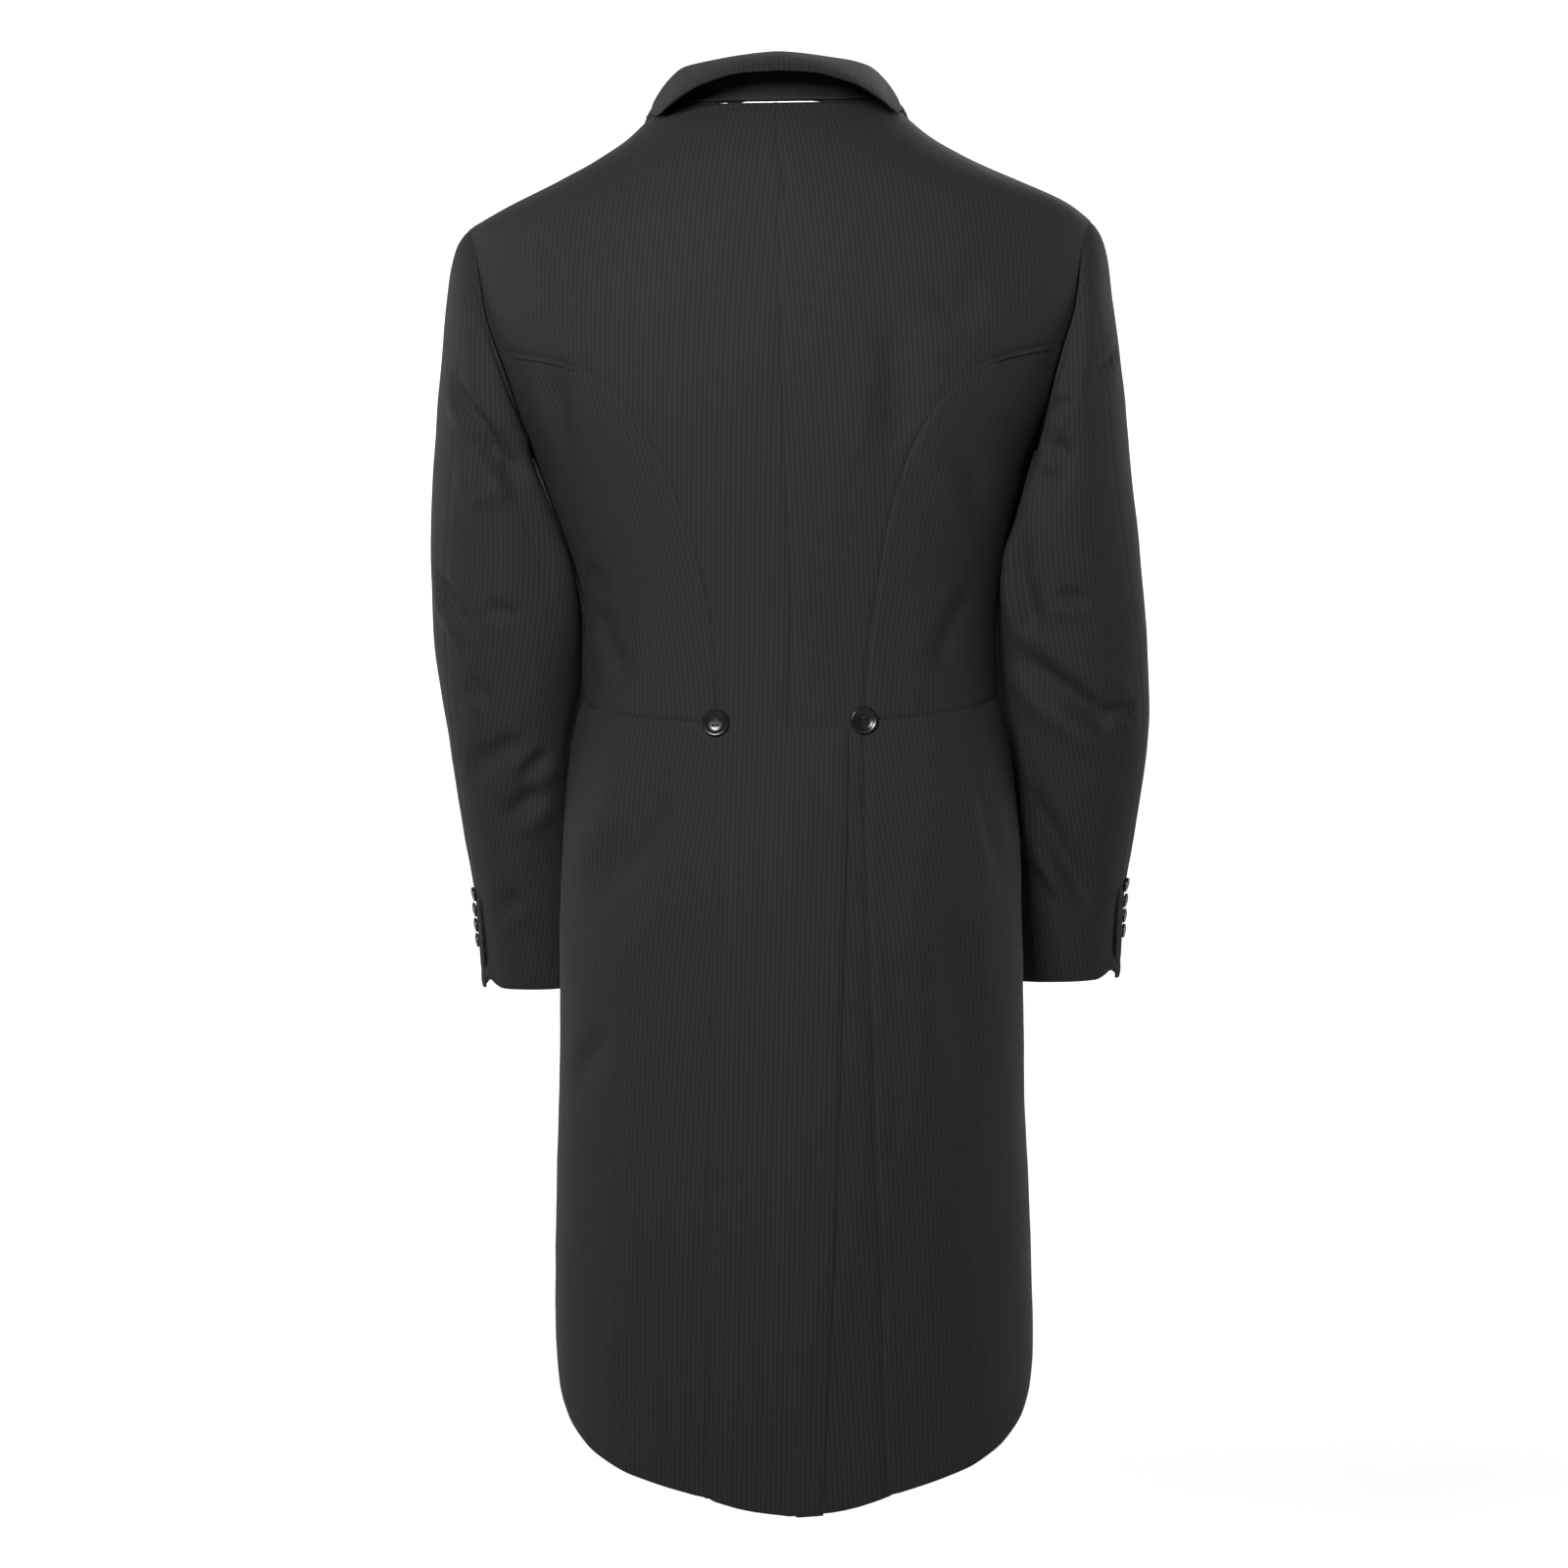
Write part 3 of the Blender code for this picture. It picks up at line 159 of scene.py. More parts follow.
# Each crease is a soft trough drawn on the cloth. First comes the side that it is drawn from,
# then its places there as (across, up), its half width, its depth and the share of the depth
# that rises as a ridge beside it.
SLEEVE_CREASES = (
    ("back", ((0.246, -0.200), (0.226, -0.232), (0.206, -0.258)), 0.0065, 0.0030, 0.6),
    ("back", ((0.226, -0.246), (0.203, -0.268), (0.184, -0.285)), 0.0110, 0.0050, 0.7),
    ("back", ((0.236, -0.262), (0.221, -0.281), (0.205, -0.291)), 0.0070, 0.0024, 0.5),
    ("back", ((0.184, -0.225), (0.181, -0.266)), 0.0070, 0.0030, 0.3),
    ("back", ((0.263, -0.341), (0.247, -0.367), (0.226, -0.398)), 0.0075, 0.0032, 0.6),
    ("back", ((0.220, -0.374), (0.193, -0.384)), 0.0060, 0.0020, 0.5),
    ("back", ((0.240, -0.497), (0.212, -0.482), (0.184, -0.473)), 0.0080, 0.0026, 0.5),
    ("back", ((0.200, -0.502), (0.172, -0.483)), 0.0065, 0.0024, 0.5),
    ("back", ((0.214, -0.538), (0.196, -0.522), (0.176, -0.508)), 0.0080, 0.0028, 0.6),
    ("back", ((0.222, -0.604), (0.197, -0.590)), 0.0070, 0.0018, 0.5),
    ("back", ((0.236, -0.430), (0.214, -0.446)), 0.0080, 0.0016, 0.5),
    ("back", ((-0.188, -0.231), (-0.216, -0.236)), 0.0060, 0.0022, 0.5),
    ("back", ((-0.192, -0.260), (-0.204, -0.265), (-0.218, -0.272)), 0.0065, 0.0026, 0.6),
    ("back", ((-0.253, -0.194), (-0.240, -0.210), (-0.226, -0.226)), 0.0080, 0.0020, 0.5),
    ("back", ((-0.178, -0.310), (-0.176, -0.355), (-0.186, -0.392), (-0.198, -0.412)), 0.0085, 0.0034, 0.6),
    ("back", ((-0.168, -0.408), (-0.202, -0.439), (-0.241, -0.466), (-0.264, -0.480)), 0.0100, 0.0044, 0.6),
    ("back", ((-0.176, -0.502), (-0.190, -0.533), (-0.208, -0.566), (-0.235, -0.612)), 0.0085, 0.0036, 0.6),
    ("back", ((-0.180, -0.566), (-0.193, -0.590), (-0.208, -0.612)), 0.0060, 0.0024, 0.6),
    ("back", ((-0.202, -0.370), (-0.230, -0.380)), 0.0060, 0.0020, 0.5),
    ("back", ((-0.240, -0.458), (-0.264, -0.459)), 0.0060, 0.0022, 0.5),
    ("front", ((0.190, -0.360), (0.222, -0.372), (0.252, -0.366)), 0.0090, 0.0030, 0.6),
    ("front", ((0.182, -0.392), (0.205, -0.402), (0.232, -0.400)), 0.0075, 0.0024, 0.6),
    ("front", ((0.186, -0.246), (0.204, -0.262), (0.214, -0.284)), 0.0090, 0.0030, 0.5),
    ("front", ((0.198, -0.520), (0.216, -0.512), (0.238, -0.516)), 0.0075, 0.0018, 0.5),
    ("front", ((-0.186, -0.355), (-0.220, -0.370), (-0.258, -0.362)), 0.0090, 0.0030, 0.6),
    ("front", ((-0.184, -0.398), (-0.212, -0.408), (-0.246, -0.398)), 0.0080, 0.0026, 0.6),
    ("front", ((-0.188, -0.240), (-0.204, -0.262), (-0.212, -0.290)), 0.0090, 0.0030, 0.5),
    ("front", ((-0.190, -0.536), (-0.220, -0.528)), 0.0080, 0.0018, 0.5),
)
BODY_CREASES = (
    ("back", ((0.160, -0.198), (0.1585, -0.235), (0.157, -0.276)), 0.0100, 0.0028, 0.6),
    ("back", ((0.139, -0.372), (0.127, -0.404), (0.110, -0.440)), 0.0090, 0.0022, 0.5),
    ("back", ((0.148, -0.352), (0.126, -0.362)), 0.0080, 0.0016, 0.5),
    ("back", ((-0.088, -0.158), (-0.086, -0.215), (-0.083, -0.286)), 0.0140, 0.0030, 0.4),
    ("back", ((-0.102, -0.163), (-0.130, -0.166), (-0.158, -0.158)), 0.0130, 0.0026, 0.5),
    ("back", ((0.030, -0.158), (0.016, -0.134), (0.001, -0.112)), 0.0140, 0.0020, 0.4),
    ("back", ((-0.146, -0.360), (-0.126, -0.392), (-0.108, -0.436)), 0.0090, 0.0016, 0.5),
    ("back", ((-0.118, -0.250), (-0.140, -0.282), (-0.150, -0.320)), 0.0120, 0.0018, 0.4),
    ("back", ((0.074, -0.484), (0.108, -0.544), (0.148, -0.600)), 0.0170, 0.0040, 0.5),
    ("back", ((0.128, -0.690), (0.145, -0.709), (0.163, -0.724)), 0.0110, 0.0026, 0.5),
    ("back", ((0.150, -0.785), (0.117, -0.787)), 0.0060, 0.0012, 0.4),
    ("back", ((0.078, -0.800), (0.056, -0.803), (0.031, -0.801)), 0.0060, 0.0012, 0.4),
    ("back", ((-0.104, -0.781), (-0.133, -0.783)), 0.0060, 0.0011, 0.4),
    ("back", ((-0.142, -0.472), (-0.146, -0.512), (-0.152, -0.548), (-0.164, -0.600)), 0.0075, 0.0026, 0.6),
    ("back", ((-0.118, -0.560), (-0.128, -0.650), (-0.132, -0.760)), 0.0170, 0.0024, 0.4),
    ("back", ((0.058, -0.530), (0.070, -0.640), (0.084, -0.760)), 0.0150, 0.0018, 0.4),
    ("front", ((0.060, -0.400), (0.095, -0.404), (0.130, -0.396)), 0.0100, 0.0020, 0.5),
    ("front", ((0.040, -0.446), (0.074, -0.500), (0.104, -0.560)), 0.0130, 0.0024, 0.4),
    ("front", ((-0.058, -0.398), (-0.092, -0.408), (-0.128, -0.402)), 0.0100, 0.0020, 0.5),
    ("front", ((-0.052, -0.452), (-0.080, -0.505), (-0.118, -0.570)), 0.0130, 0.0022, 0.4),
    ("front", ((0.168, -0.150), (0.158, -0.205), (0.160, -0.262)), 0.0120, 0.0026, 0.5),
    ("front", ((-0.166, -0.148), (-0.158, -0.200), (-0.156, -0.258)), 0.0120, 0.0026, 0.5),
)


class CoatCloth(bpy.types.PropertyGroup):
    thickness: bpy.props.FloatProperty(
        name="Cloth thickness",
        description="Thickness of the coating wool, turned in at its edges",
        default=0.0016,
        subtype="DISTANCE",
        unit="LENGTH",
    )
    colour: bpy.props.FloatVectorProperty(
        name="Wool colour",
        description="Colour of the wool's darker yarn",
        default=(0.0075, 0.0075, 0.0086),
        subtype="COLOR",
        size=3,
    )
    light_yarn: bpy.props.FloatVectorProperty(
        name="Light yarn",
        description="Colour of the wool's lighter yarn, in the woven stripes",
        default=(0.0180, 0.0180, 0.0205),
        subtype="COLOR",
        size=3,
    )
    stripe_pitch: bpy.props.FloatProperty(
        name="Stripe pitch",
        description="Distance between two woven stripes",
        default=0.0036,
        subtype="DISTANCE",
        unit="LENGTH",
    )
    twill_pitch: bpy.props.FloatProperty(
        name="Twill pitch",
        description="Distance between two slanted ribs of the weave",
        default=0.0009,
        subtype="DISTANCE",
        unit="LENGTH",
    )
    crease_depth: bpy.props.FloatProperty(
        name="Crease depth",
        description="How deep the creases are, as a share of the depths in the tables",
        default=2.0,
        subtype="FACTOR",
    )


class CoatButtons(bpy.types.PropertyGroup):
    colour: bpy.props.FloatVectorProperty(
        name="Button colour",
        description="Colour of the polished buttons",
        default=(0.006, 0.006, 0.0065),
        subtype="COLOR",
        size=3,
    )
    hole_across: bpy.props.FloatProperty(
        name="Hole width",
        description="Width of each of the four holes, as a share of the button's width",
        default=0.085,
        subtype="FACTOR",
    )
    thread_colour: bpy.props.FloatVectorProperty(
        name="Thread colour",
        description="Colour of the sewing thread",
        default=(0.012, 0.012, 0.013),
        subtype="COLOR",
        size=3,
    )


class CoatStage(bpy.types.PropertyGroup):
    camera_distance: bpy.props.FloatProperty(
        name="Camera distance",
        description="Distance of the camera from the middle of the coat",
        default=4.0,
        subtype="DISTANCE",
        unit="LENGTH",
    )
    picture_height: bpy.props.FloatProperty(
        name="Picture height",
        description="Height that the camera takes in at the coat",
        default=1.1696,
        subtype="DISTANCE",
        unit="LENGTH",
    )
    camera_roll: bpy.props.FloatProperty(
        name="Camera roll",
        description="How far the camera is rolled",
        default=math.radians(-0.85),
        subtype="ANGLE",
        unit="ROTATION",
    )
    room_light: bpy.props.FloatProperty(
        name="Room light",
        description="Strength of the even light from the pale surroundings",
        default=0.10,
    )
    floor_colour: bpy.props.FloatVectorProperty(
        name="Floor colour",
        description="Colour of the plain floor",
        default=(0.90, 0.90, 0.90),
        subtype="COLOR",
        size=3,
    )


# ------------------------------------------------------------------ small helpers


def deselect():
    for thing in bpy.context.view_layer.objects:
        thing.select_set(False)


def only(thing):
    deselect()
    thing.select_set(True)
    bpy.context.view_layer.objects.active = thing


def node_mesh(node):
    """The solid's mesh as merged triangles."""
    mesh = bmesh.new()
    mesh.from_mesh(frame["nodes"][node].data)
    bmesh.ops.remove_doubles(mesh, verts=mesh.verts, dist=1e-6)
    return mesh


def add_piece(name, mesh, finish):
    data = bpy.data.meshes.new(name)
    mesh.to_mesh(data)
    mesh.free()
    piece = bpy.data.objects.new(name, data)
    bpy.context.scene.collection.objects.link(piece)
    data.materials.append(finish)
    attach(piece, "root")
    return piece


def apply_modifier(piece, kind, **values):
    modifier = piece.modifiers.new(kind.title(), kind)
    for key, value in values.items():
        setattr(modifier, key, value)
    only(piece)
    bpy.ops.object.modifier_apply(modifier=modifier.name)


# ------------------------------------------------------------------ cloth


def facing_faces(mesh, thickness):
    """The faces of a wall of cloth that have the wall's other face close behind them."""
    tree = BVHTree.FromBMesh(mesh)
    found = set()
    for face in mesh.faces:
        start = face.calc_center_median() - face.normal * JUST_BEHIND
        place, normal, _, _ = tree.ray_cast(start, -face.normal, thickness * WALL_REACH)
        if place is not None and normal.dot(face.normal) < OPPOSITE:
            found.add(face)
    return found


def joined_faces(start, allowed):
    """The allowed faces that are joined to the first one, edge by edge."""
    group, stack = {start}, [start]
    while stack:
        for edge in stack.pop().edges:
            for face in edge.link_faces:
                if face in allowed and face not in group:
                    group.add(face)
                    stack.append(face)
    return group


def grown(group, others):
    """Adds the faces that a ray behind them missed: those that run on smoothly from a group,
    and those whose corners are all in it."""
    stack = list(group)
    while stack:
        for edge in stack.pop().edges:
            for face in edge.link_faces:
                if face in group or face in others:
                    continue
                if edge.calc_face_angle() < SMOOTH_ANGLE:
                    group.add(face)
                    stack.append(face)
    corners = {vertex for face in group for vertex in face.verts}
    near = {face for vertex in corners for face in vertex.link_faces} - group - others
    return group | {face for face in near if corners.issuperset(face.verts)}


def squareness(edge):
    """How far the two triangles on an edge are from a rectangle: 0 is one."""
    first, second = edge.link_faces
    start, end = edge.verts
    tops = [next(v for v in face.verts if v not in edge.verts).co for face in (first, second)]
    ring = (tops[0], start.co, tops[1], end.co)
    off = 0.0
    for i in range(4):
        before, here, after = ring[i - 1], ring[i], ring[(i + 1) % 4]
        off += abs((before - here).normalized().dot((after - here).normalized()))
    return off


def make_squares(mesh):
    """Turns a net of triangles back into its squares. Each triangle has one slanted edge, and
    where squares meet at an inner corner, four of the edges are theirs."""
    slanted = {edge: False for edge in mesh.edges if len(edge.link_faces) < 2}
    rules = [(face.edges, 1) for face in mesh.faces]
    rules += [(v.link_edges, len(v.link_edges) - 4) for v in mesh.verts if not v.is_boundary]
    waiting = sorted((edge for edge in mesh.edges if edge not in slanted), key=squareness)
    while waiting:
        changed = True
        while changed:
            changed = False
            for edges, wanted in rules:
                free = [edge for edge in edges if edge not in slanted]
                have = sum(slanted.get(edge, False) for edge in edges)
                if free and (have >= wanted or have + len(free) <= wanted):
                    slanted.update({edge: have < wanted for edge in free})
                    changed = True
        waiting = [edge for edge in waiting if edge not in slanted]
        if waiting:
            slanted[waiting.pop(0)] = True
    bmesh.ops.dissolve_edges(mesh, edges=[edge for edge in mesh.edges if slanted[edge]])


def outer_sheet(node, middle_of, thickness):
    """The outer face of a node as a net of squares, facing out."""
    mesh = node_mesh(node)
    mesh.normal_update()
    facing = facing_faces(mesh, thickness)
    first = joined_faces(max(facing, key=lambda face: face.calc_area()), facing)
    second = joined_faces(max(facing - first, key=lambda face: face.calc_area()), facing)
    sheets = [grown(first, second), grown(second, first)]

    def outwardness(faces):
        total = 0.0
        for face in faces:
            centre = face.calc_center_median()
            total += face.normal.dot(centre - middle_of(centre)) * face.calc_area()
        return total

    keep = max(sheets, key=outwardness)
    bmesh.ops.delete(mesh, geom=[face for face in mesh.faces if face not in keep], context="FACES")
    make_squares(mesh)
    return mesh


def body_middle(place):
    return Vector((0.0, 0.0, place.z))


def collar_middle(place):
    """A place below the collar and in the middle of the neck, which what shows faces away from."""
    return Vector((0.0, 0.0, place.z - COLLAR_DROP))


def sleeve_middle(side):
    """A function that gives the middle of a sleeve at a height."""
    nodes = [frame["nodes"][f"sleeve_{part}_{side}"] for part in ("top", "under")]
    places = np.array([vertex.co[:] for node in nodes for vertex in node.data.vertices])

    def middle_of(place):
        near = places[np.abs(places[:, 2] - place.z) < SLEEVE_BAND]
        middle = (near.min(axis=0) + near.max(axis=0)) / 2
        return Vector((middle[0], middle[1], place.z))

    return middle_of


def lay_flat(piece):
    """Unwraps a sheet to its flat cut in metres, with the grain along v. Returns the width,
    length and area of the cut."""
    only(piece)
    mesh = piece.data
    mesh.uv_layers.new(name="cut")
    bpy.ops.object.mode_set(mode="EDIT")
    bpy.ops.mesh.select_all(action="SELECT")
    bpy.ops.uv.unwrap(method="ANGLE_BASED", margin=0.0)
    bpy.ops.object.mode_set(mode="OBJECT")
    flat = np.empty(len(mesh.loops) * 2)
    mesh.uv_layers["cut"].uv.foreach_get("vector", flat)
    flat = flat.reshape(-1, 2)
    corners = np.empty(len(mesh.loops), dtype=np.int32)
    mesh.loops.foreach_get("vertex_index", corners)
    heights = points_of(mesh)[corners, 2]
    slope = np.linalg.lstsq(np.column_stack((flat, np.ones(len(flat)))), heights, rcond=None)[0]
    turn = math.pi / 2 - math.atan2(slope[1], slope[0])
    spin = np.array(((math.cos(turn), math.sin(turn)), (-math.sin(turn), math.cos(turn))))
    ring = flat.reshape(-1, 4, 2)
    first, second = ring[:, 2] - ring[:, 0], ring[:, 3] - ring[:, 1]
    flat_area = float(np.abs(first[:, 0] * second[:, 1] - first[:, 1] * second[:, 0]).sum()) / 2
    area = sum(face.area for face in mesh.polygons)
    flat = (flat - flat.mean(axis=0)) @ spin * math.sqrt(area / flat_area)
    mesh.uv_layers["cut"].uv.foreach_set("vector", flat.ravel())
    width, length = flat.max(axis=0) - flat.min(axis=0)
    return float(width), float(length), float(area)


def make_fine(piece):
    """Makes a sheet finer, then relaxes it until its flat squares run smoothly together. Its
    edge relaxes only along itself and for fewer rounds, and its corners stay."""
    apply_modifier(
        piece, "SUBSURF", levels=FINE_LEVELS, render_levels=FINE_LEVELS, subdivision_type="SIMPLE"
    )
    mesh = bmesh.new()
    mesh.from_mesh(piece.data)
    pairs, fixed = [], np.zeros(len(mesh.verts), dtype=bool)
    on_edge = np.array([vertex.is_boundary for vertex in mesh.verts])
    for edge in mesh.edges:
        start, end = edge.verts
        if edge.is_boundary or not start.is_boundary:
            pairs.append((start.index, end.index))
        if edge.is_boundary or not end.is_boundary:
            pairs.append((end.index, start.index))
    for vertex in mesh.verts:
        if vertex.is_boundary:
            beside = [edge.other_vert(vertex) for edge in vertex.link_edges if edge.is_boundary]
            ahead = [other.co - vertex.co for other in beside]
            fixed[vertex.index] = len(ahead) != 2 or ahead[0].angle(ahead[1]) < CORNER_ANGLE
    count = len(mesh.verts)
    mesh.free()
    own, other = np.array(pairs).T
    known = np.maximum(np.bincount(own, minlength=count), 1)[:, None]
    points = points_of(piece.data)
    kept = points[fixed].copy()
    for number in range(RELAX_ROUNDS):
        if number == EDGE_ROUNDS:
            fixed |= on_edge
            kept = points[fixed].copy()
        total = np.column_stack(
            [np.bincount(own, weights=points[other, axis], minlength=count) for axis in range(3)]
        )
        points += (total / known - points) * RELAX_SHARE
        points[fixed] = kept
    move_points(piece, points)


def points_of(mesh):
    """The points of a mesh as a table."""
    points = np.empty(len(mesh.vertices) * 3)
    mesh.vertices.foreach_get("co", points)
    return points.reshape(-1, 3)


def normals_of(mesh):
    """The normals at a mesh's points as a table."""
    normals = np.empty(len(mesh.vertices) * 3)
    mesh.vertices.foreach_get("normal", normals)
    return normals.reshape(-1, 3)


def tree_of(pieces):
    """A search tree of several pieces' surfaces in one."""
    places, faces = [], []
    for piece in pieces:
        start = len(places)
        places += [vertex.co.copy() for vertex in piece.data.vertices]
        faces += [[start + i for i in face.vertices] for face in piece.data.polygons]
    return BVHTree.FromPolygons(places, faces)


def traced(tree, seen, path):
    """A crease's path laid on the cloth, as places and outward directions."""
    towards = {"back": FROM_BACK, "front": -FROM_BACK}[seen]
    places, normals = [], []
    for (x0, z0), (x1, z1) in zip(path, path[1:]):
        steps = max(2, round(math.hypot(x1 - x0, z1 - z0) / CREASE_STEP))
        for i in range(steps):
            t = i / (steps - 1)
            start = Vector((x0 + (x1 - x0) * t, 0, z0 + (z1 - z0) * t)) - towards
            place, normal, _, _ = tree.ray_cast(start, towards)
            if place is not None:
                places.append(place)
                normals.append(-normal if normal.dot(towards) > 0 else normal)
    return np.array(places), np.array(normals)


def fade(t):
    """Rises smoothly from 0 at both ends of a crease to 1 a third of the way along."""
    t = np.clip(np.minimum(t, 1 - t) * CREASE_RISE, 0, 1)
    return t * t * (3 - 2 * t)


def bell(away, middle, width):
    """1 at the middle, falling smoothly to nearly nothing two widths off."""
    return np.exp(-(((away - middle) / width) ** 2))


def crease(coordinates, normals, shift, stroke):
    """Adds one crease to the shift of a sheet's points."""
    places, ups, half_width, depth, ridge = stroke
    low = places.min(axis=0) - half_width * CREASE_MARGIN
    high = places.max(axis=0) + half_width * CREASE_MARGIN
    near = np.where(np.all((coordinates > low) & (coordinates < high), axis=1))[0]
    if not len(near):
        return
    away = coordinates[near][:, None, :] - places[None, :, :]
    nearest = np.linalg.norm(away, axis=2).argmin(axis=1)
    along = np.gradient(places, axis=0)[nearest]
    along /= np.linalg.norm(along, axis=1)[:, None] + 1e-9
    up = ups[nearest]
    side = np.cross(along, up)
    side /= np.linalg.norm(side, axis=1)[:, None] + 1e-9
    offset = coordinates[near] - places[nearest]
    across = np.einsum("ij,ij->i", offset, side)
    past = np.einsum("ij,ij->i", offset, along)
    above = np.einsum("ij,ij->i", offset, up)
    here = fade(nearest / max(1, len(places) - 1)) * bell(past, 0.0, half_width * CREASE_END)
    here *= np.exp(-((above / CREASE_REACH) ** 4))
    here *= np.einsum("ij,ij->i", normals[near], up) > FACING_LEAST
    trough_form = -bell(across, 0.0, half_width)
    ridge_form = ridge * bell(across, RIDGE_PLACE * half_width, half_width * RIDGE_WIDTH)
    lee_form = LEE_SHARE * ridge * bell(across, -LEE_PLACE * half_width, half_width * LEE_WIDTH)
    shift[near] += depth * here * (trough_form + ridge_form + lee_form)


def crease_sheets(sheets, table, share):
    """Presses every crease of a table into the sheets that it crosses."""
    tree = tree_of(sheets)
    strokes = []
    for seen, path, half_width, depth, ridge in table:
        places, ups = traced(tree, seen, path)
        if len(places) > CREASE_LEAST:
            strokes.append((places, ups, half_width, depth * share, ridge))
    for sheet in sheets:
        points, normals = points_of(sheet.data), normals_of(sheet.data)
        shift = waves(points)
        for stroke in strokes:
            crease(points, normals, shift, stroke)
        move_points(sheet, points + normals * shift[:, None])


def move_points(piece, points):
    piece.data.vertices.foreach_set("co", points.ravel())
    piece.data.update()


def waves(points):
    """The cloth's own faint unevenness, the same on both sides of a seam."""
    out = np.empty(len(points))
    for i, place in enumerate(points):
        point = Vector(place) * WAVE_SCALE
        out[i] = noise.noise(point) + SMALL_WAVE_SHARE * noise.noise(point * SMALL_WAVE_SCALE)
    return out * WAVE_HEIGHT


def edge_of(sheet):
    """The points along a sheet's edge: their indices, and a row of places close together."""
    mesh = bmesh.new()
    mesh.from_mesh(sheet.data)
    mesh.verts.ensure_lookup_table()
    indices = [vertex.index for vertex in mesh.verts if vertex.is_boundary]
    places = []
    for edge in mesh.edges:
        if edge.is_boundary:
            start, end = (vertex.co for vertex in edge.verts)
            places += [start.lerp(end, i / SEW_STEPS) for i in range(SEW_STEPS)]
    mesh.free()
    return indices, places


def tree_of_points(places):
    tree = KDTree(len(places))
    for i, place in enumerate(places):
        tree.insert(place, i)
    tree.balance()
    return tree


def sew(sheets):
    """Brings the edges that are sewn together onto one line, and sinks the seams and edges."""
    edges = [edge_of(sheet) for sheet in sheets]
    trees = [tree_of_points(places) for _, places in edges]
    moved = []
    for number, sheet in enumerate(sheets):
        points, normals = points_of(sheet.data), normals_of(sheet.data)
        indices = edges[number][0]
        moves = np.zeros((len(indices), 3))
        for row, index in enumerate(indices):
            here = Vector(points[index])
            others = [tree.find(here) for i, tree in enumerate(trees) if i != number]
            place, _, away = min(others, key=lambda found: found[2])
            if away < SEW_REACH:
                moves[row] = (place - here) / 2
        own = tree_of_points([Vector(points[index]) for index in indices])
        for i, place in enumerate(points.copy()):
            _, row, away = own.find(place)
            points[i] += moves[row] * math.exp(-((away / SEW_SPREAD) ** 2))
            points[i] -= normals[i] * SEAM_DIP * math.exp(-((away / SEAM_REACH) ** 2))
        moved.append(points)
    for sheet, points in zip(sheets, moved):
        move_points(sheet, points)


def lean_in(sheets, body):
    """The sleeves' inner sides lie against the body below the armholes."""
    tree = tree_of(body)
    for sheet in sheets:
        points = points_of(sheet.data)
        towards = Vector((-1.0 if points[:, 0].mean() > 0 else 1.0, 0.0, 0.0))
        for i, vertex in enumerate(sheet.data.vertices):
            if not LEAN_LOW < vertex.co.z < LEAN_HIGH or vertex.normal.dot(towards) < 0:
                continue
            place, _, _, gap = tree.ray_cast(vertex.co, towards, LEAN_REACH)
            if place is None or gap < LEAN_REST:
                continue
            share = min(1.0, (vertex.co.z - LEAN_LOW) / LEAN_RUN) * vertex.normal.dot(towards) ** 0.5
            share *= 1 - (gap / LEAN_REACH) ** 2
            points[i] += np.array(towards) * (gap - LEAN_REST) * share
        move_points(sheet, points)


def close_seams(piece, reach):
    """Lets the cloth run on a little past its edge, which narrows the gap in its seams."""
    mesh = bmesh.new()
    mesh.from_mesh(piece.data)
    outward_of = {}
    for edge in mesh.edges:
        if edge.is_boundary:
            face = edge.link_faces[0]
            start, end = edge.verts
            out = (end.co - start.co).cross(face.normal).normalized()
            middle = (start.co + end.co) / 2
            if out.dot(middle - face.calc_center_median()) < 0:
                out.negate()
            for vertex in edge.verts:
                outward_of[vertex] = outward_of.get(vertex, Vector()) + out
    for vertex, out in outward_of.items():
        vertex.co += out.normalized() * reach
    mesh.to_mesh(piece.data)
    mesh.free()


def thicken(piece, thickness):
    close_seams(piece, COLLAR_TUCK if piece.name == "collar_cloth" else SEAM_CLOSE)
    apply_modifier(
        piece, "SOLIDIFY", thickness=thickness, offset=-1.0, use_even_offset=False, use_rim=True
    )
    apply_modifier(
        piece, "BEVEL", width=EDGE_ROUND, segments=2, limit_method="ANGLE", angle_limit=math.radians(60)
    )
    only(piece)
    bpy.ops.object.shade_smooth()


# ------------------------------------------------------------------ materials


class Nodes:
    """Adds shader nodes to a material and wires them."""

    def __init__(self, name):
        self.material = bpy.data.materials.new(name)
        self.material.use_nodes = True
        self.tree = self.material.node_tree
        self.shader = self.tree.nodes["Principled BSDF"]

    def add(self, kind, **values):
        node = self.tree.nodes.new(kind)
        for key, value in values.items():
            setattr(node, key, value)
        return node

    def wire(self, source, target):
        self.tree.links.new(source, target)

    def math(self, operation, first, second=None):
        node = self.add("ShaderNodeMath", operation=operation)
        for socket, value in zip(node.inputs, (first, second)):
            if value is None:
                continue
            if isinstance(value, (int, float)):
                socket.default_value = value
            else:
                self.wire(value, socket)
        return node.outputs[0]


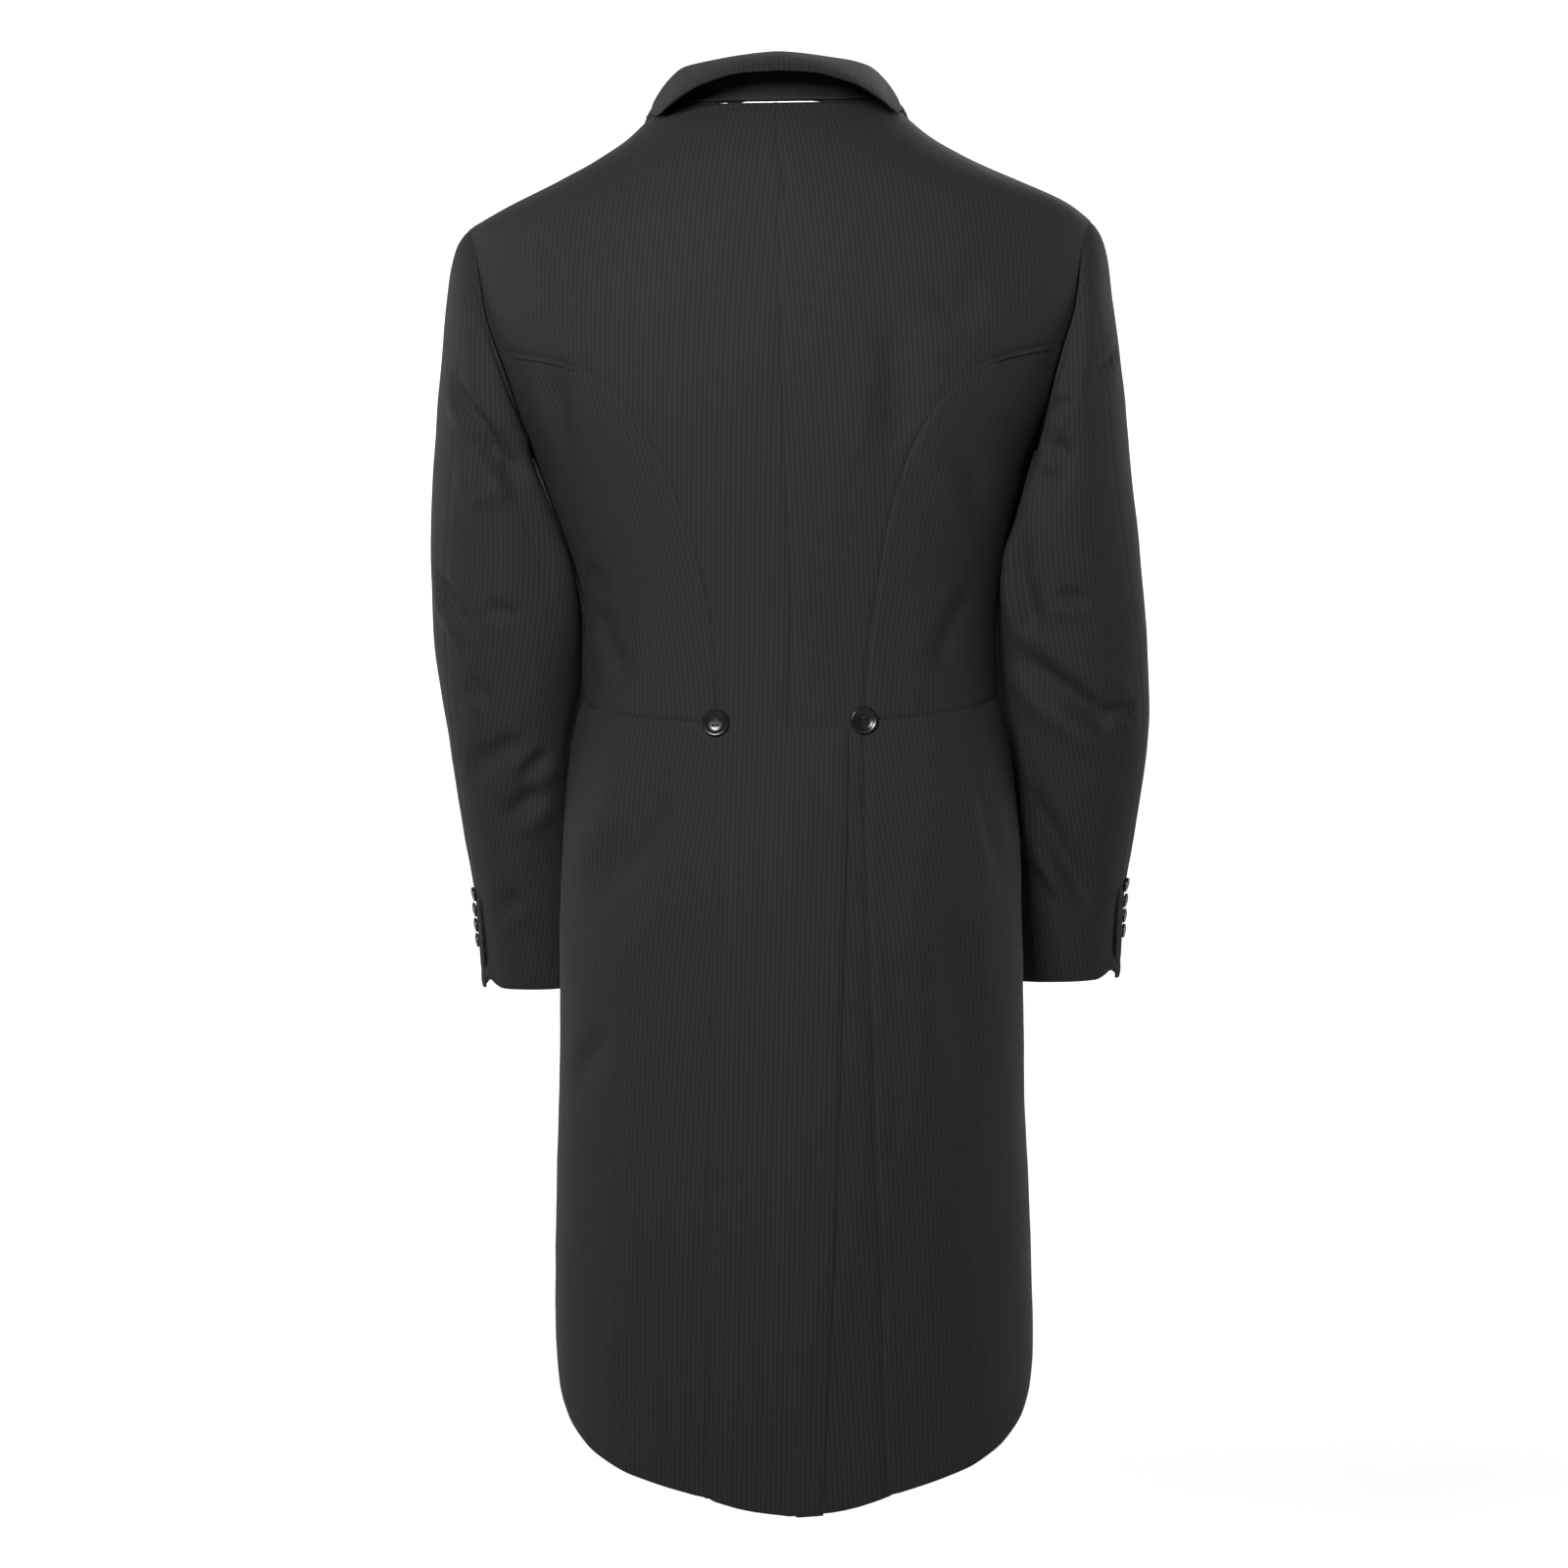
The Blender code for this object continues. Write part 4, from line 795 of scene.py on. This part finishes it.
def wool(settings):
    """Black coating wool: fine twill whose slant turns at each narrow stripe."""
    build = Nodes("coat_wool")
    where = build.add("ShaderNodeUVMap", uv_map="cut")
    parts = build.add("ShaderNodeSeparateXYZ")
    build.wire(where.outputs[0], parts.inputs[0])
    across, along = parts.outputs[0], parts.outputs[1]
    stripe = build.math("DIVIDE", across, settings.stripe_pitch)
    place_in_pair = build.math("PINGPONG", stripe, 1.0)
    slant = build.math("MULTIPLY", place_in_pair, settings.stripe_pitch)
    rib = build.math("DIVIDE", build.math("ADD", along, slant), settings.twill_pitch)
    rib_wave = build.math("MULTIPLY", build.math("SINE", build.math("MULTIPLY", rib, math.tau)), 0.5)
    rib_wave = build.math("ADD", rib_wave, 0.5)
    stripe_wave = build.math("COSINE", build.math("MULTIPLY", stripe, math.tau))
    stripe_wave = build.math("ADD", build.math("MULTIPLY", stripe_wave, 0.5), 0.5)
    fleck = build.add("ShaderNodeTexNoise")
    fleck.inputs["Scale"].default_value = FLECK_SCALE
    fleck.inputs["Detail"].default_value = 2.0
    build.wire(where.outputs[0], fleck.inputs["Vector"])
    light = build.math("MULTIPLY", rib_wave, RIB_STRENGTH)
    light = build.math("ADD", light, build.math("MULTIPLY", stripe_wave, STRIPE_STRENGTH))
    light = build.math("ADD", light, build.math("MULTIPLY", fleck.outputs[0], FLECK_STRENGTH))
    mix = build.add("ShaderNodeMix", data_type="RGBA")
    mix.inputs[6].default_value = (*settings.colour, 1.0)
    mix.inputs[7].default_value = (*settings.light_yarn, 1.0)
    build.wire(light, mix.inputs[0])
    build.wire(mix.outputs[2], build.shader.inputs["Base Color"])
    height = build.math("ADD", rib_wave, build.math("MULTIPLY", fleck.outputs[0], FLECK_RELIEF))
    height = build.math("ADD", height, build.math("MULTIPLY", stripe_wave, STRIPE_RELIEF))
    bump = build.add("ShaderNodeBump")
    bump.inputs["Strength"].default_value = 0.5
    bump.inputs["Distance"].default_value = WEAVE_RELIEF
    build.wire(height, bump.inputs["Height"])
    build.wire(bump.outputs[0], build.shader.inputs["Normal"])
    build.shader.inputs["Roughness"].default_value = 0.82
    build.shader.inputs["Specular IOR Level"].default_value = 0.12
    build.shader.inputs["Sheen Weight"].default_value = 0.005
    build.shader.inputs["Sheen Roughness"].default_value = 0.4
    return build.material


def plain_finish(name, colour, roughness, shine=0.5):
    build = Nodes(name)
    build.shader.inputs["Base Color"].default_value = (*colour, 1.0)
    build.shader.inputs["Roughness"].default_value = roughness
    build.shader.inputs["Specular IOR Level"].default_value = shine
    return build.material


# ------------------------------------------------------------------ pieces of cloth


def dress(node, middle_of, settings, finish):
    """One piece of cloth as a fine sheet, which isn't creased or thick yet."""
    mesh = outer_sheet(node, middle_of, settings.thickness)
    piece = add_piece(f"{node}_cloth", mesh, finish)
    make_fine(piece)
    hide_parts(node)
    return piece


def cloth(parts):
    """The pieces of cloth of these parts."""
    names = [f"{part}_{side}_cloth" for part in parts if part != "collar" for side in SIDES]
    return [bpy.data.objects[name] for name in names + ["collar_cloth"] * ("collar" in parts)]


class COAT_OT_body(bpy.types.Operator):
    """Cuts the body of the coat, its skirts, lapels and collar"""

    bl_idname = "coat.body"
    bl_label = "Body and collar"

    def execute(self, context):
        settings = context.scene.coat_cloth
        finish = bpy.data.materials.get("coat_wool") or wool(settings)
        for part in BODY_PARTS[:-1]:
            for side in SIDES:
                dress(f"{part}_{side}", body_middle, settings, finish)
        dress("collar", collar_middle, settings, finish)
        return {"FINISHED"}


class COAT_OT_sleeves(bpy.types.Operator):
    """Cuts both two-piece sleeves and lays them against the body"""

    bl_idname = "coat.sleeves"
    bl_label = "Sleeves"

    def execute(self, context):
        settings = context.scene.coat_cloth
        finish = bpy.data.materials.get("coat_wool") or wool(settings)
        for side in SIDES:
            for part in SLEEVE_PARTS:
                dress(f"{part}_{side}", sleeve_middle(side), settings, finish)
        lean_in(cloth(SLEEVE_PARTS), cloth(BODY_PARTS))
        return {"FINISHED"}


class COAT_OT_tailoring(bpy.types.Operator):
    """Creases the cloth, sews its seams and gives it its thickness"""

    bl_idname = "coat.tailoring"
    bl_label = "Creases and seams"

    def execute(self, context):
        settings = context.scene.coat_cloth
        body, sleeves = cloth(BODY_PARTS), cloth(SLEEVE_PARTS)
        cuts = {piece.name: lay_flat(piece) for piece in body + sleeves}
        crease_sheets(body, BODY_CREASES, settings.crease_depth * BODY_CREASE_SHARE)
        crease_sheets(sleeves, SLEEVE_CREASES, settings.crease_depth)
        sew(body + sleeves)
        for piece in body + sleeves:
            thicken(piece, settings.thickness)
        return {"FINISHED"}


# ------------------------------------------------------------------ buttons


def button_frame(node):
    """A button's centre, the way its face looks, and its radius and height."""
    places = np.array([vertex.co[:] for vertex in node.data.vertices])
    centre = (places.min(axis=0) + places.max(axis=0)) / 2
    _, axes = np.linalg.eigh(np.cov((places - centre).T))
    facing = axes[:, 0]
    heights = (places - centre) @ facing
    across = np.linalg.norm((places - centre) - np.outer(heights, facing), axis=1)
    return Vector(centre), Vector(facing), float(across.max()), float(heights.max() - heights.min())


def outward(centre, facing, middle):
    return facing if facing.dot(centre - middle) > 0 else -facing


BUTTON_PROFILE = (
    # share of radius, share of height
    (0.00, 0.62),
    (0.30, 0.62),
    (0.55, 0.66),
    (0.68, 0.80),
    (0.78, 0.96),
    (0.88, 1.00),
    (0.96, 0.90),
    (1.00, 0.68),
    (1.00, 0.34),
    (0.95, 0.08),
    (0.84, 0.00),
    (0.00, 0.00),
)
BUTTON_STEPS = 48
BUTTON_DISH = 0.62  # share of the height at which the thread lies
BUTTON_LIFT = 0.0002
HOLE_SPACING = 0.20  # from the button's middle, as a share of its radius
SEAT_START, SEAT_REACH = 0.002, 0.012
THREAD_RADIUS = 0.00028
BAR_RINGS, BAR_SIDES = 7, 8
# In radii of the thread
BAR_RADIUS, BAR_RISE = 1.5, 1.6
BAR_SINK = 0.4  # share of the rise by which a bar's ends lie low
# The shank of thread under a button: radii as shares of the holes' spacing, and its middle
SHANK_FOOT, SHANK_HEAD = 1.3, 1.1
SHANK_MIDDLE = 0.8


def turned(name, profile, radius, height, steps, finish):
    """A round piece turned from a profile, standing on the origin."""
    mesh = bmesh.new()
    places = [mesh.verts.new((share * radius, 0.0, up * height)) for share, up in profile]
    edges = [mesh.edges.new(pair) for pair in zip(places, places[1:])]
    bmesh.ops.spin(
        mesh, geom=places + edges, cent=(0, 0, 0), axis=(0, 0, 1), angle=math.tau, steps=steps,
        use_duplicate=False,
    )
    bmesh.ops.remove_doubles(mesh, verts=mesh.verts, dist=1e-6)
    bmesh.ops.recalc_face_normals(mesh, faces=mesh.faces)
    return add_piece(name, mesh, finish)


def bored(button, height, hole_radius, spacing):
    """Cuts the four sewing holes."""
    cutters = []
    for sx in (-1, 1):
        for sy in (-1, 1):
            bpy.ops.mesh.primitive_cylinder_add(
                vertices=16, radius=hole_radius, depth=height * 3,
                location=(sx * spacing, sy * spacing, height / 2),
            )
            cutters.append(bpy.context.object)
    deselect()
    for cutter in cutters:
        cutter.select_set(True)
    bpy.context.view_layer.objects.active = cutters[0]
    bpy.ops.object.join()
    cutter = bpy.context.object
    apply_modifier(button, "BOOLEAN", object=cutter, operation="DIFFERENCE", solver="EXACT")
    bpy.data.objects.remove(cutter)


def place_on(piece, centre, facing, height):
    """Moves a piece made at the origin so that its axis stands on the cloth."""
    turn = facing.to_track_quat("Z", "Y").to_matrix().to_4x4()
    move = Matrix.Translation(centre - facing * height / 2)
    piece.data.transform(move @ turn)


def ring_of(mesh, middle, side, up, radius, count):
    """A ring of points round a thread."""
    ring = []
    for i in range(count):
        angle = math.tau * i / count
        ring.append(mesh.verts.new(middle + (side * math.cos(angle) + up * math.sin(angle)) * radius))
    return ring


def skin(mesh, rings):
    """Joins rings of points into a closed length of thread."""
    for ring, after in zip(rings, rings[1:]):
        for i in range(len(ring)):
            k = (i + 1) % len(ring)
            mesh.faces.new((ring[i], after[i], after[k], ring[k]))
    mesh.faces.new(rings[0])
    mesh.faces.new(rings[-1])


def thread_bars(name, spacing, height, finish):
    """Two short bars of thread through the four holes, and the shank under the button."""
    mesh = bmesh.new()
    for sy in (-1, 1):
        start = Vector((-spacing, sy * spacing, height * BUTTON_DISH))
        end = Vector((spacing, sy * spacing, height * BUTTON_DISH))
        rings = []
        for i in range(BAR_RINGS):
            t = i / (BAR_RINGS - 1)
            rise = math.sin(math.pi * t) ** 0.5 - BAR_SINK
            middle = start.lerp(end, t) + UP * THREAD_RADIUS * BAR_RISE * rise
            rings.append(ring_of(mesh, middle, SIDEWAYS, UP, THREAD_RADIUS * BAR_RADIUS, BAR_SIDES))
        skin(mesh, rings)
    bmesh.ops.create_cone(
        mesh, cap_ends=True, segments=16, radius1=spacing * SHANK_FOOT, radius2=spacing * SHANK_HEAD,
        depth=BUTTON_LIFT * 2, matrix=Matrix.Translation((0, 0, -BUTTON_LIFT * SHANK_MIDDLE)),
    )
    bmesh.ops.recalc_face_normals(mesh, faces=mesh.faces)
    return add_piece(name, mesh, finish)


class COAT_OT_buttons(bpy.types.Operator):
    """Builds the two waist buttons, the front button and the cuff buttons"""

    bl_idname = "coat.buttons"
    bl_label = "Buttons"

    def execute(self, context):
        settings = context.scene.coat_buttons
        polish = plain_finish("coat_button", settings.colour, roughness=0.24, shine=0.3)
        thread = plain_finish("coat_thread", settings.thread_colour, roughness=0.75)
        middles = {side: sleeve_middle(side) for side in SIDES}
        under = tree_of(cloth(BODY_PARTS) + cloth(SLEEVE_PARTS))
        for node in sorted(name for name in frame["nodes"] if "button" in name):
            centre, facing, radius, height = button_frame(frame["nodes"][node])
            side = "left" if "_left" in node else "right"
            on_cuff = node.startswith("cuff")
            middle = middles[side](centre) if on_cuff else body_middle(centre)
            facing = outward(centre, facing, middle)
            seat = under.ray_cast(centre + facing * SEAT_START, -facing, SEAT_REACH)[0]
            if seat is None:
                raise RuntimeError(f"{node} has no cloth under it")
            centre = seat + facing * (height / 2 + BUTTON_LIFT)
            spacing = radius * HOLE_SPACING
            button = turned(
                f"{node}_turned", BUTTON_PROFILE, radius, height, BUTTON_STEPS, polish
            )
            bored(button, height, radius * settings.hole_across, spacing)
            bars = thread_bars(f"{node}_thread", spacing, height, thread)
            for piece in (button, bars):
                place_on(piece, centre, facing, height)
            only(button)
            bpy.ops.object.shade_smooth_by_angle(angle=math.radians(35))
            only(bars)
            bpy.ops.object.shade_smooth()
            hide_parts(node)
        return {"FINISHED"}


# ------------------------------------------------------------------ stitches


STITCHES = {
    # name: (path as (across, up) seen from the back, stitch length, gap)
    "neck": (
        ((0.079, -0.0174), (0.052, -0.0137), (0.028, -0.0123), (0.0, -0.0130), (-0.0254, -0.0136),
         (-0.050, -0.0126), (-0.069, -0.0118)),
        0.0030,
        0.0024,
    ),
    "vent": (
        ((-0.003, -0.4796), (-0.040, -0.4800), (-0.0462, -0.4786), (-0.0488, -0.4748), (-0.0492, -0.4690)),
        0.0024,
        0.0005,
    ),
}
STITCH_SIDES = 6
STITCH_RINGS = 5
STITCH_RISE, STITCH_SINK = 1.5, 0.9  # in radii of the thread


def stitch(mesh, places, ups):
    """One stitch along a few places on the cloth, which dips into it at both ends."""
    rings = []
    for i, (place, up) in enumerate(zip(places, ups)):
        along = places[min(i + 1, len(places) - 1)] - places[max(i - 1, 0)]
        side = along.cross(up).normalized()
        rise = math.sin(math.pi * i / (len(places) - 1))
        middle = place + up * THREAD_RADIUS * (STITCH_RISE * rise - STITCH_SINK)
        rings.append(ring_of(mesh, middle, side, up, THREAD_RADIUS, STITCH_SIDES))
    skin(mesh, rings)


def along_path(path, lengths, left):
    """The place on a path, as (across, up), at a length from its start."""
    step = 0
    while left > lengths[step] and step < len(lengths) - 1:
        left -= lengths[step]
        step += 1
    return Vector(path[step]).lerp(Vector(path[step + 1]), left / lengths[step])


class COAT_OT_stitches(bpy.types.Operator):
    """Sews the visible stitches under the collar and round the head of the vent"""

    bl_idname = "coat.stitches"
    bl_label = "Stitches"

    def execute(self, context):
        thread = bpy.data.materials["coat_thread"]
        tree = tree_of(cloth(BODY_PARTS))
        for name, (path, length, gap) in STITCHES.items():
            mesh = bmesh.new()
            lengths = [math.dist(a, b) for a, b in zip(path, path[1:])]
            total, start = sum(lengths), gap
            while start + length < total:
                places, ups = [], []
                for i in range(STITCH_RINGS):
                    x, z = along_path(path, lengths, start + length * i / (STITCH_RINGS - 1))
                    place, normal, _, _ = tree.ray_cast(Vector((x, 1.0, z)), FROM_BACK)
                    places.append(place)
                    ups.append(normal if normal.y > 0 else -normal)
                stitch(mesh, places, ups)
                start += length + gap
            bmesh.ops.recalc_face_normals(mesh, faces=mesh.faces)
            piece = add_piece(f"{name}_stitches", mesh, thread)
            only(piece)
            bpy.ops.object.shade_smooth()
        return {"FINISHED"}


# ------------------------------------------------------------------ stage


def soft_light(name, place, aim, size, watts, spread):
    lamp = bpy.data.lights.new(name, "AREA")
    lamp.shape = "RECTANGLE"
    lamp.size, lamp.size_y = size
    lamp.energy = watts
    lamp.spread = math.radians(spread)
    light = bpy.data.objects.new(name, lamp)
    light.location = place
    light.rotation_euler = (Vector(aim) - Vector(place)).to_track_quat("-Z", "Y").to_euler()
    bpy.context.scene.collection.objects.link(light)


LIGHTS = (
    # name, place, aim, size, watts, spread in degrees
    ("key_light", (0.80, 3.00, 0.65), (0.05, 0.0, 0.05), (1.0, 1.0), 31.0, 70.0),
    ("front_light", (-0.8, -3.2, 1.4), (0.0, 0.0, -0.5), (2.2, 2.2), 30.0, 120.0),
    ("wall_light_left", (7.0, -3.5, 1.5), (0.0, -8.5, 0.0), (4.0, 4.0), 620.0, 180.0),
    ("wall_light_right", (-7.0, -3.5, 1.5), (0.0, -8.5, 0.0), (4.0, 4.0), 620.0, 180.0),
)
SENSOR_WIDTH = 36.0
PICTURE_MIDDLE = Vector((0.0004, 0.0, -0.5095))
FLOOR_DROP = 0.45
SWEEP_HALF_WIDTH = 14.0
SWEEP_NEAR, SWEEP_FAR = 9.0, -6.0
SWEEP_RADIUS = 2.5
SWEEP_TOP = 7.0
SWEEP_STEPS = 16


def sweep(low, finish):
    """The floor, which turns up into a wall far behind the coat."""
    profile = [(SWEEP_NEAR, low), (SWEEP_FAR, low)]
    for i in range(1, SWEEP_STEPS + 1):
        angle = math.pi / 2 * i / SWEEP_STEPS
        profile.append(
            (SWEEP_FAR - SWEEP_RADIUS * math.sin(angle), low + SWEEP_RADIUS * (1 - math.cos(angle)))
        )
    profile.append((SWEEP_FAR - SWEEP_RADIUS, SWEEP_TOP))
    mesh = bmesh.new()
    rows = [
        [mesh.verts.new((x, y, z)) for x in (-SWEEP_HALF_WIDTH, SWEEP_HALF_WIDTH)] for y, z in profile
    ]
    for (a, b), (c, d) in zip(rows, rows[1:]):
        mesh.faces.new((a, b, d, c))
    bmesh.ops.recalc_face_normals(mesh, faces=mesh.faces)
    data = bpy.data.meshes.new("floor")
    mesh.to_mesh(data)
    mesh.free()
    floor = bpy.data.objects.new("floor", data)
    bpy.context.scene.collection.objects.link(floor)
    data.materials.append(finish)
    data.shade_smooth()
    return floor


class COAT_OT_stage(bpy.types.Operator):
    """Adds the pale floor, the soft lights, the pale surroundings and the camera"""

    bl_idname = "coat.stage"
    bl_label = "Stage"

    def execute(self, context):
        settings = context.scene.coat_stage
        low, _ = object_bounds()
        paint = plain_finish("floor_paint", settings.floor_colour, roughness=0.9)
        sweep(low[2] - FLOOR_DROP, paint)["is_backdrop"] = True
        for light in LIGHTS:
            soft_light(*light)
        world = bpy.data.worlds.new("pale_room")
        world.use_nodes = True
        world.node_tree.nodes["Background"].inputs[0].default_value = (1, 1, 1, 1)
        world.node_tree.nodes["Background"].inputs[1].default_value = settings.room_light
        context.scene.world = world
        context.scene.view_settings.view_transform = "Standard"
        camera_data = bpy.data.cameras.new("camera")
        camera_data.sensor_fit = "HORIZONTAL"
        camera_data.sensor_width = SENSOR_WIDTH
        camera_data.lens = SENSOR_WIDTH * settings.camera_distance / settings.picture_height
        camera_data.clip_end = 100.0
        camera = bpy.data.objects.new("camera", camera_data)
        camera.location = PICTURE_MIDDLE - FROM_BACK * settings.camera_distance
        look = FROM_BACK.to_track_quat("-Z", "Y").to_matrix()
        camera.rotation_euler = (look @ Matrix.Rotation(settings.camera_roll, 3, "Z")).to_euler()
        context.scene.collection.objects.link(camera)
        context.scene.camera = camera
        return {"FINISHED"}


# ------------------------------------------------------------------ panel


class COAT_PT_panel(bpy.types.Panel):
    """Lists the coat's operators"""

    bl_idname = "COAT_PT_panel"
    bl_label = "Morning coat"
    bl_space_type = "VIEW_3D"
    bl_region_type = "UI"
    bl_category = "Coat"

    def draw(self, context):
        for operator in OPERATORS:
            self.layout.operator(operator.bl_idname)
        for group in ("coat_cloth", "coat_buttons", "coat_stage"):
            box = self.layout.box()
            settings = getattr(context.scene, group)
            for name in settings.bl_rna.properties.keys():
                if name not in ("rna_type", "name"):
                    box.prop(settings, name)


OPERATORS = (
    COAT_OT_body,
    COAT_OT_sleeves,
    COAT_OT_tailoring,
    COAT_OT_buttons,
    COAT_OT_stitches,
    COAT_OT_stage,
)
GROUPS = {"coat_cloth": CoatCloth, "coat_buttons": CoatButtons, "coat_stage": CoatStage}


def register():
    for item in (*GROUPS.values(), *OPERATORS, COAT_PT_panel):
        bpy.utils.register_class(item)
    for name, group in GROUPS.items():
        setattr(bpy.types.Scene, name, bpy.props.PointerProperty(type=group))


def unregister():
    for name in GROUPS:
        delattr(bpy.types.Scene, name)
    for item in (COAT_PT_panel, *reversed(OPERATORS), *reversed(GROUPS.values())):
        bpy.utils.unregister_class(item)


def main():
    register()
    bpy.ops.coat.body()
    bpy.ops.coat.sleeves()
    bpy.ops.coat.tailoring()
    bpy.ops.coat.buttons()
    bpy.ops.coat.stitches()
    bpy.ops.coat.stage()


if __name__ == "__main__":
    main()
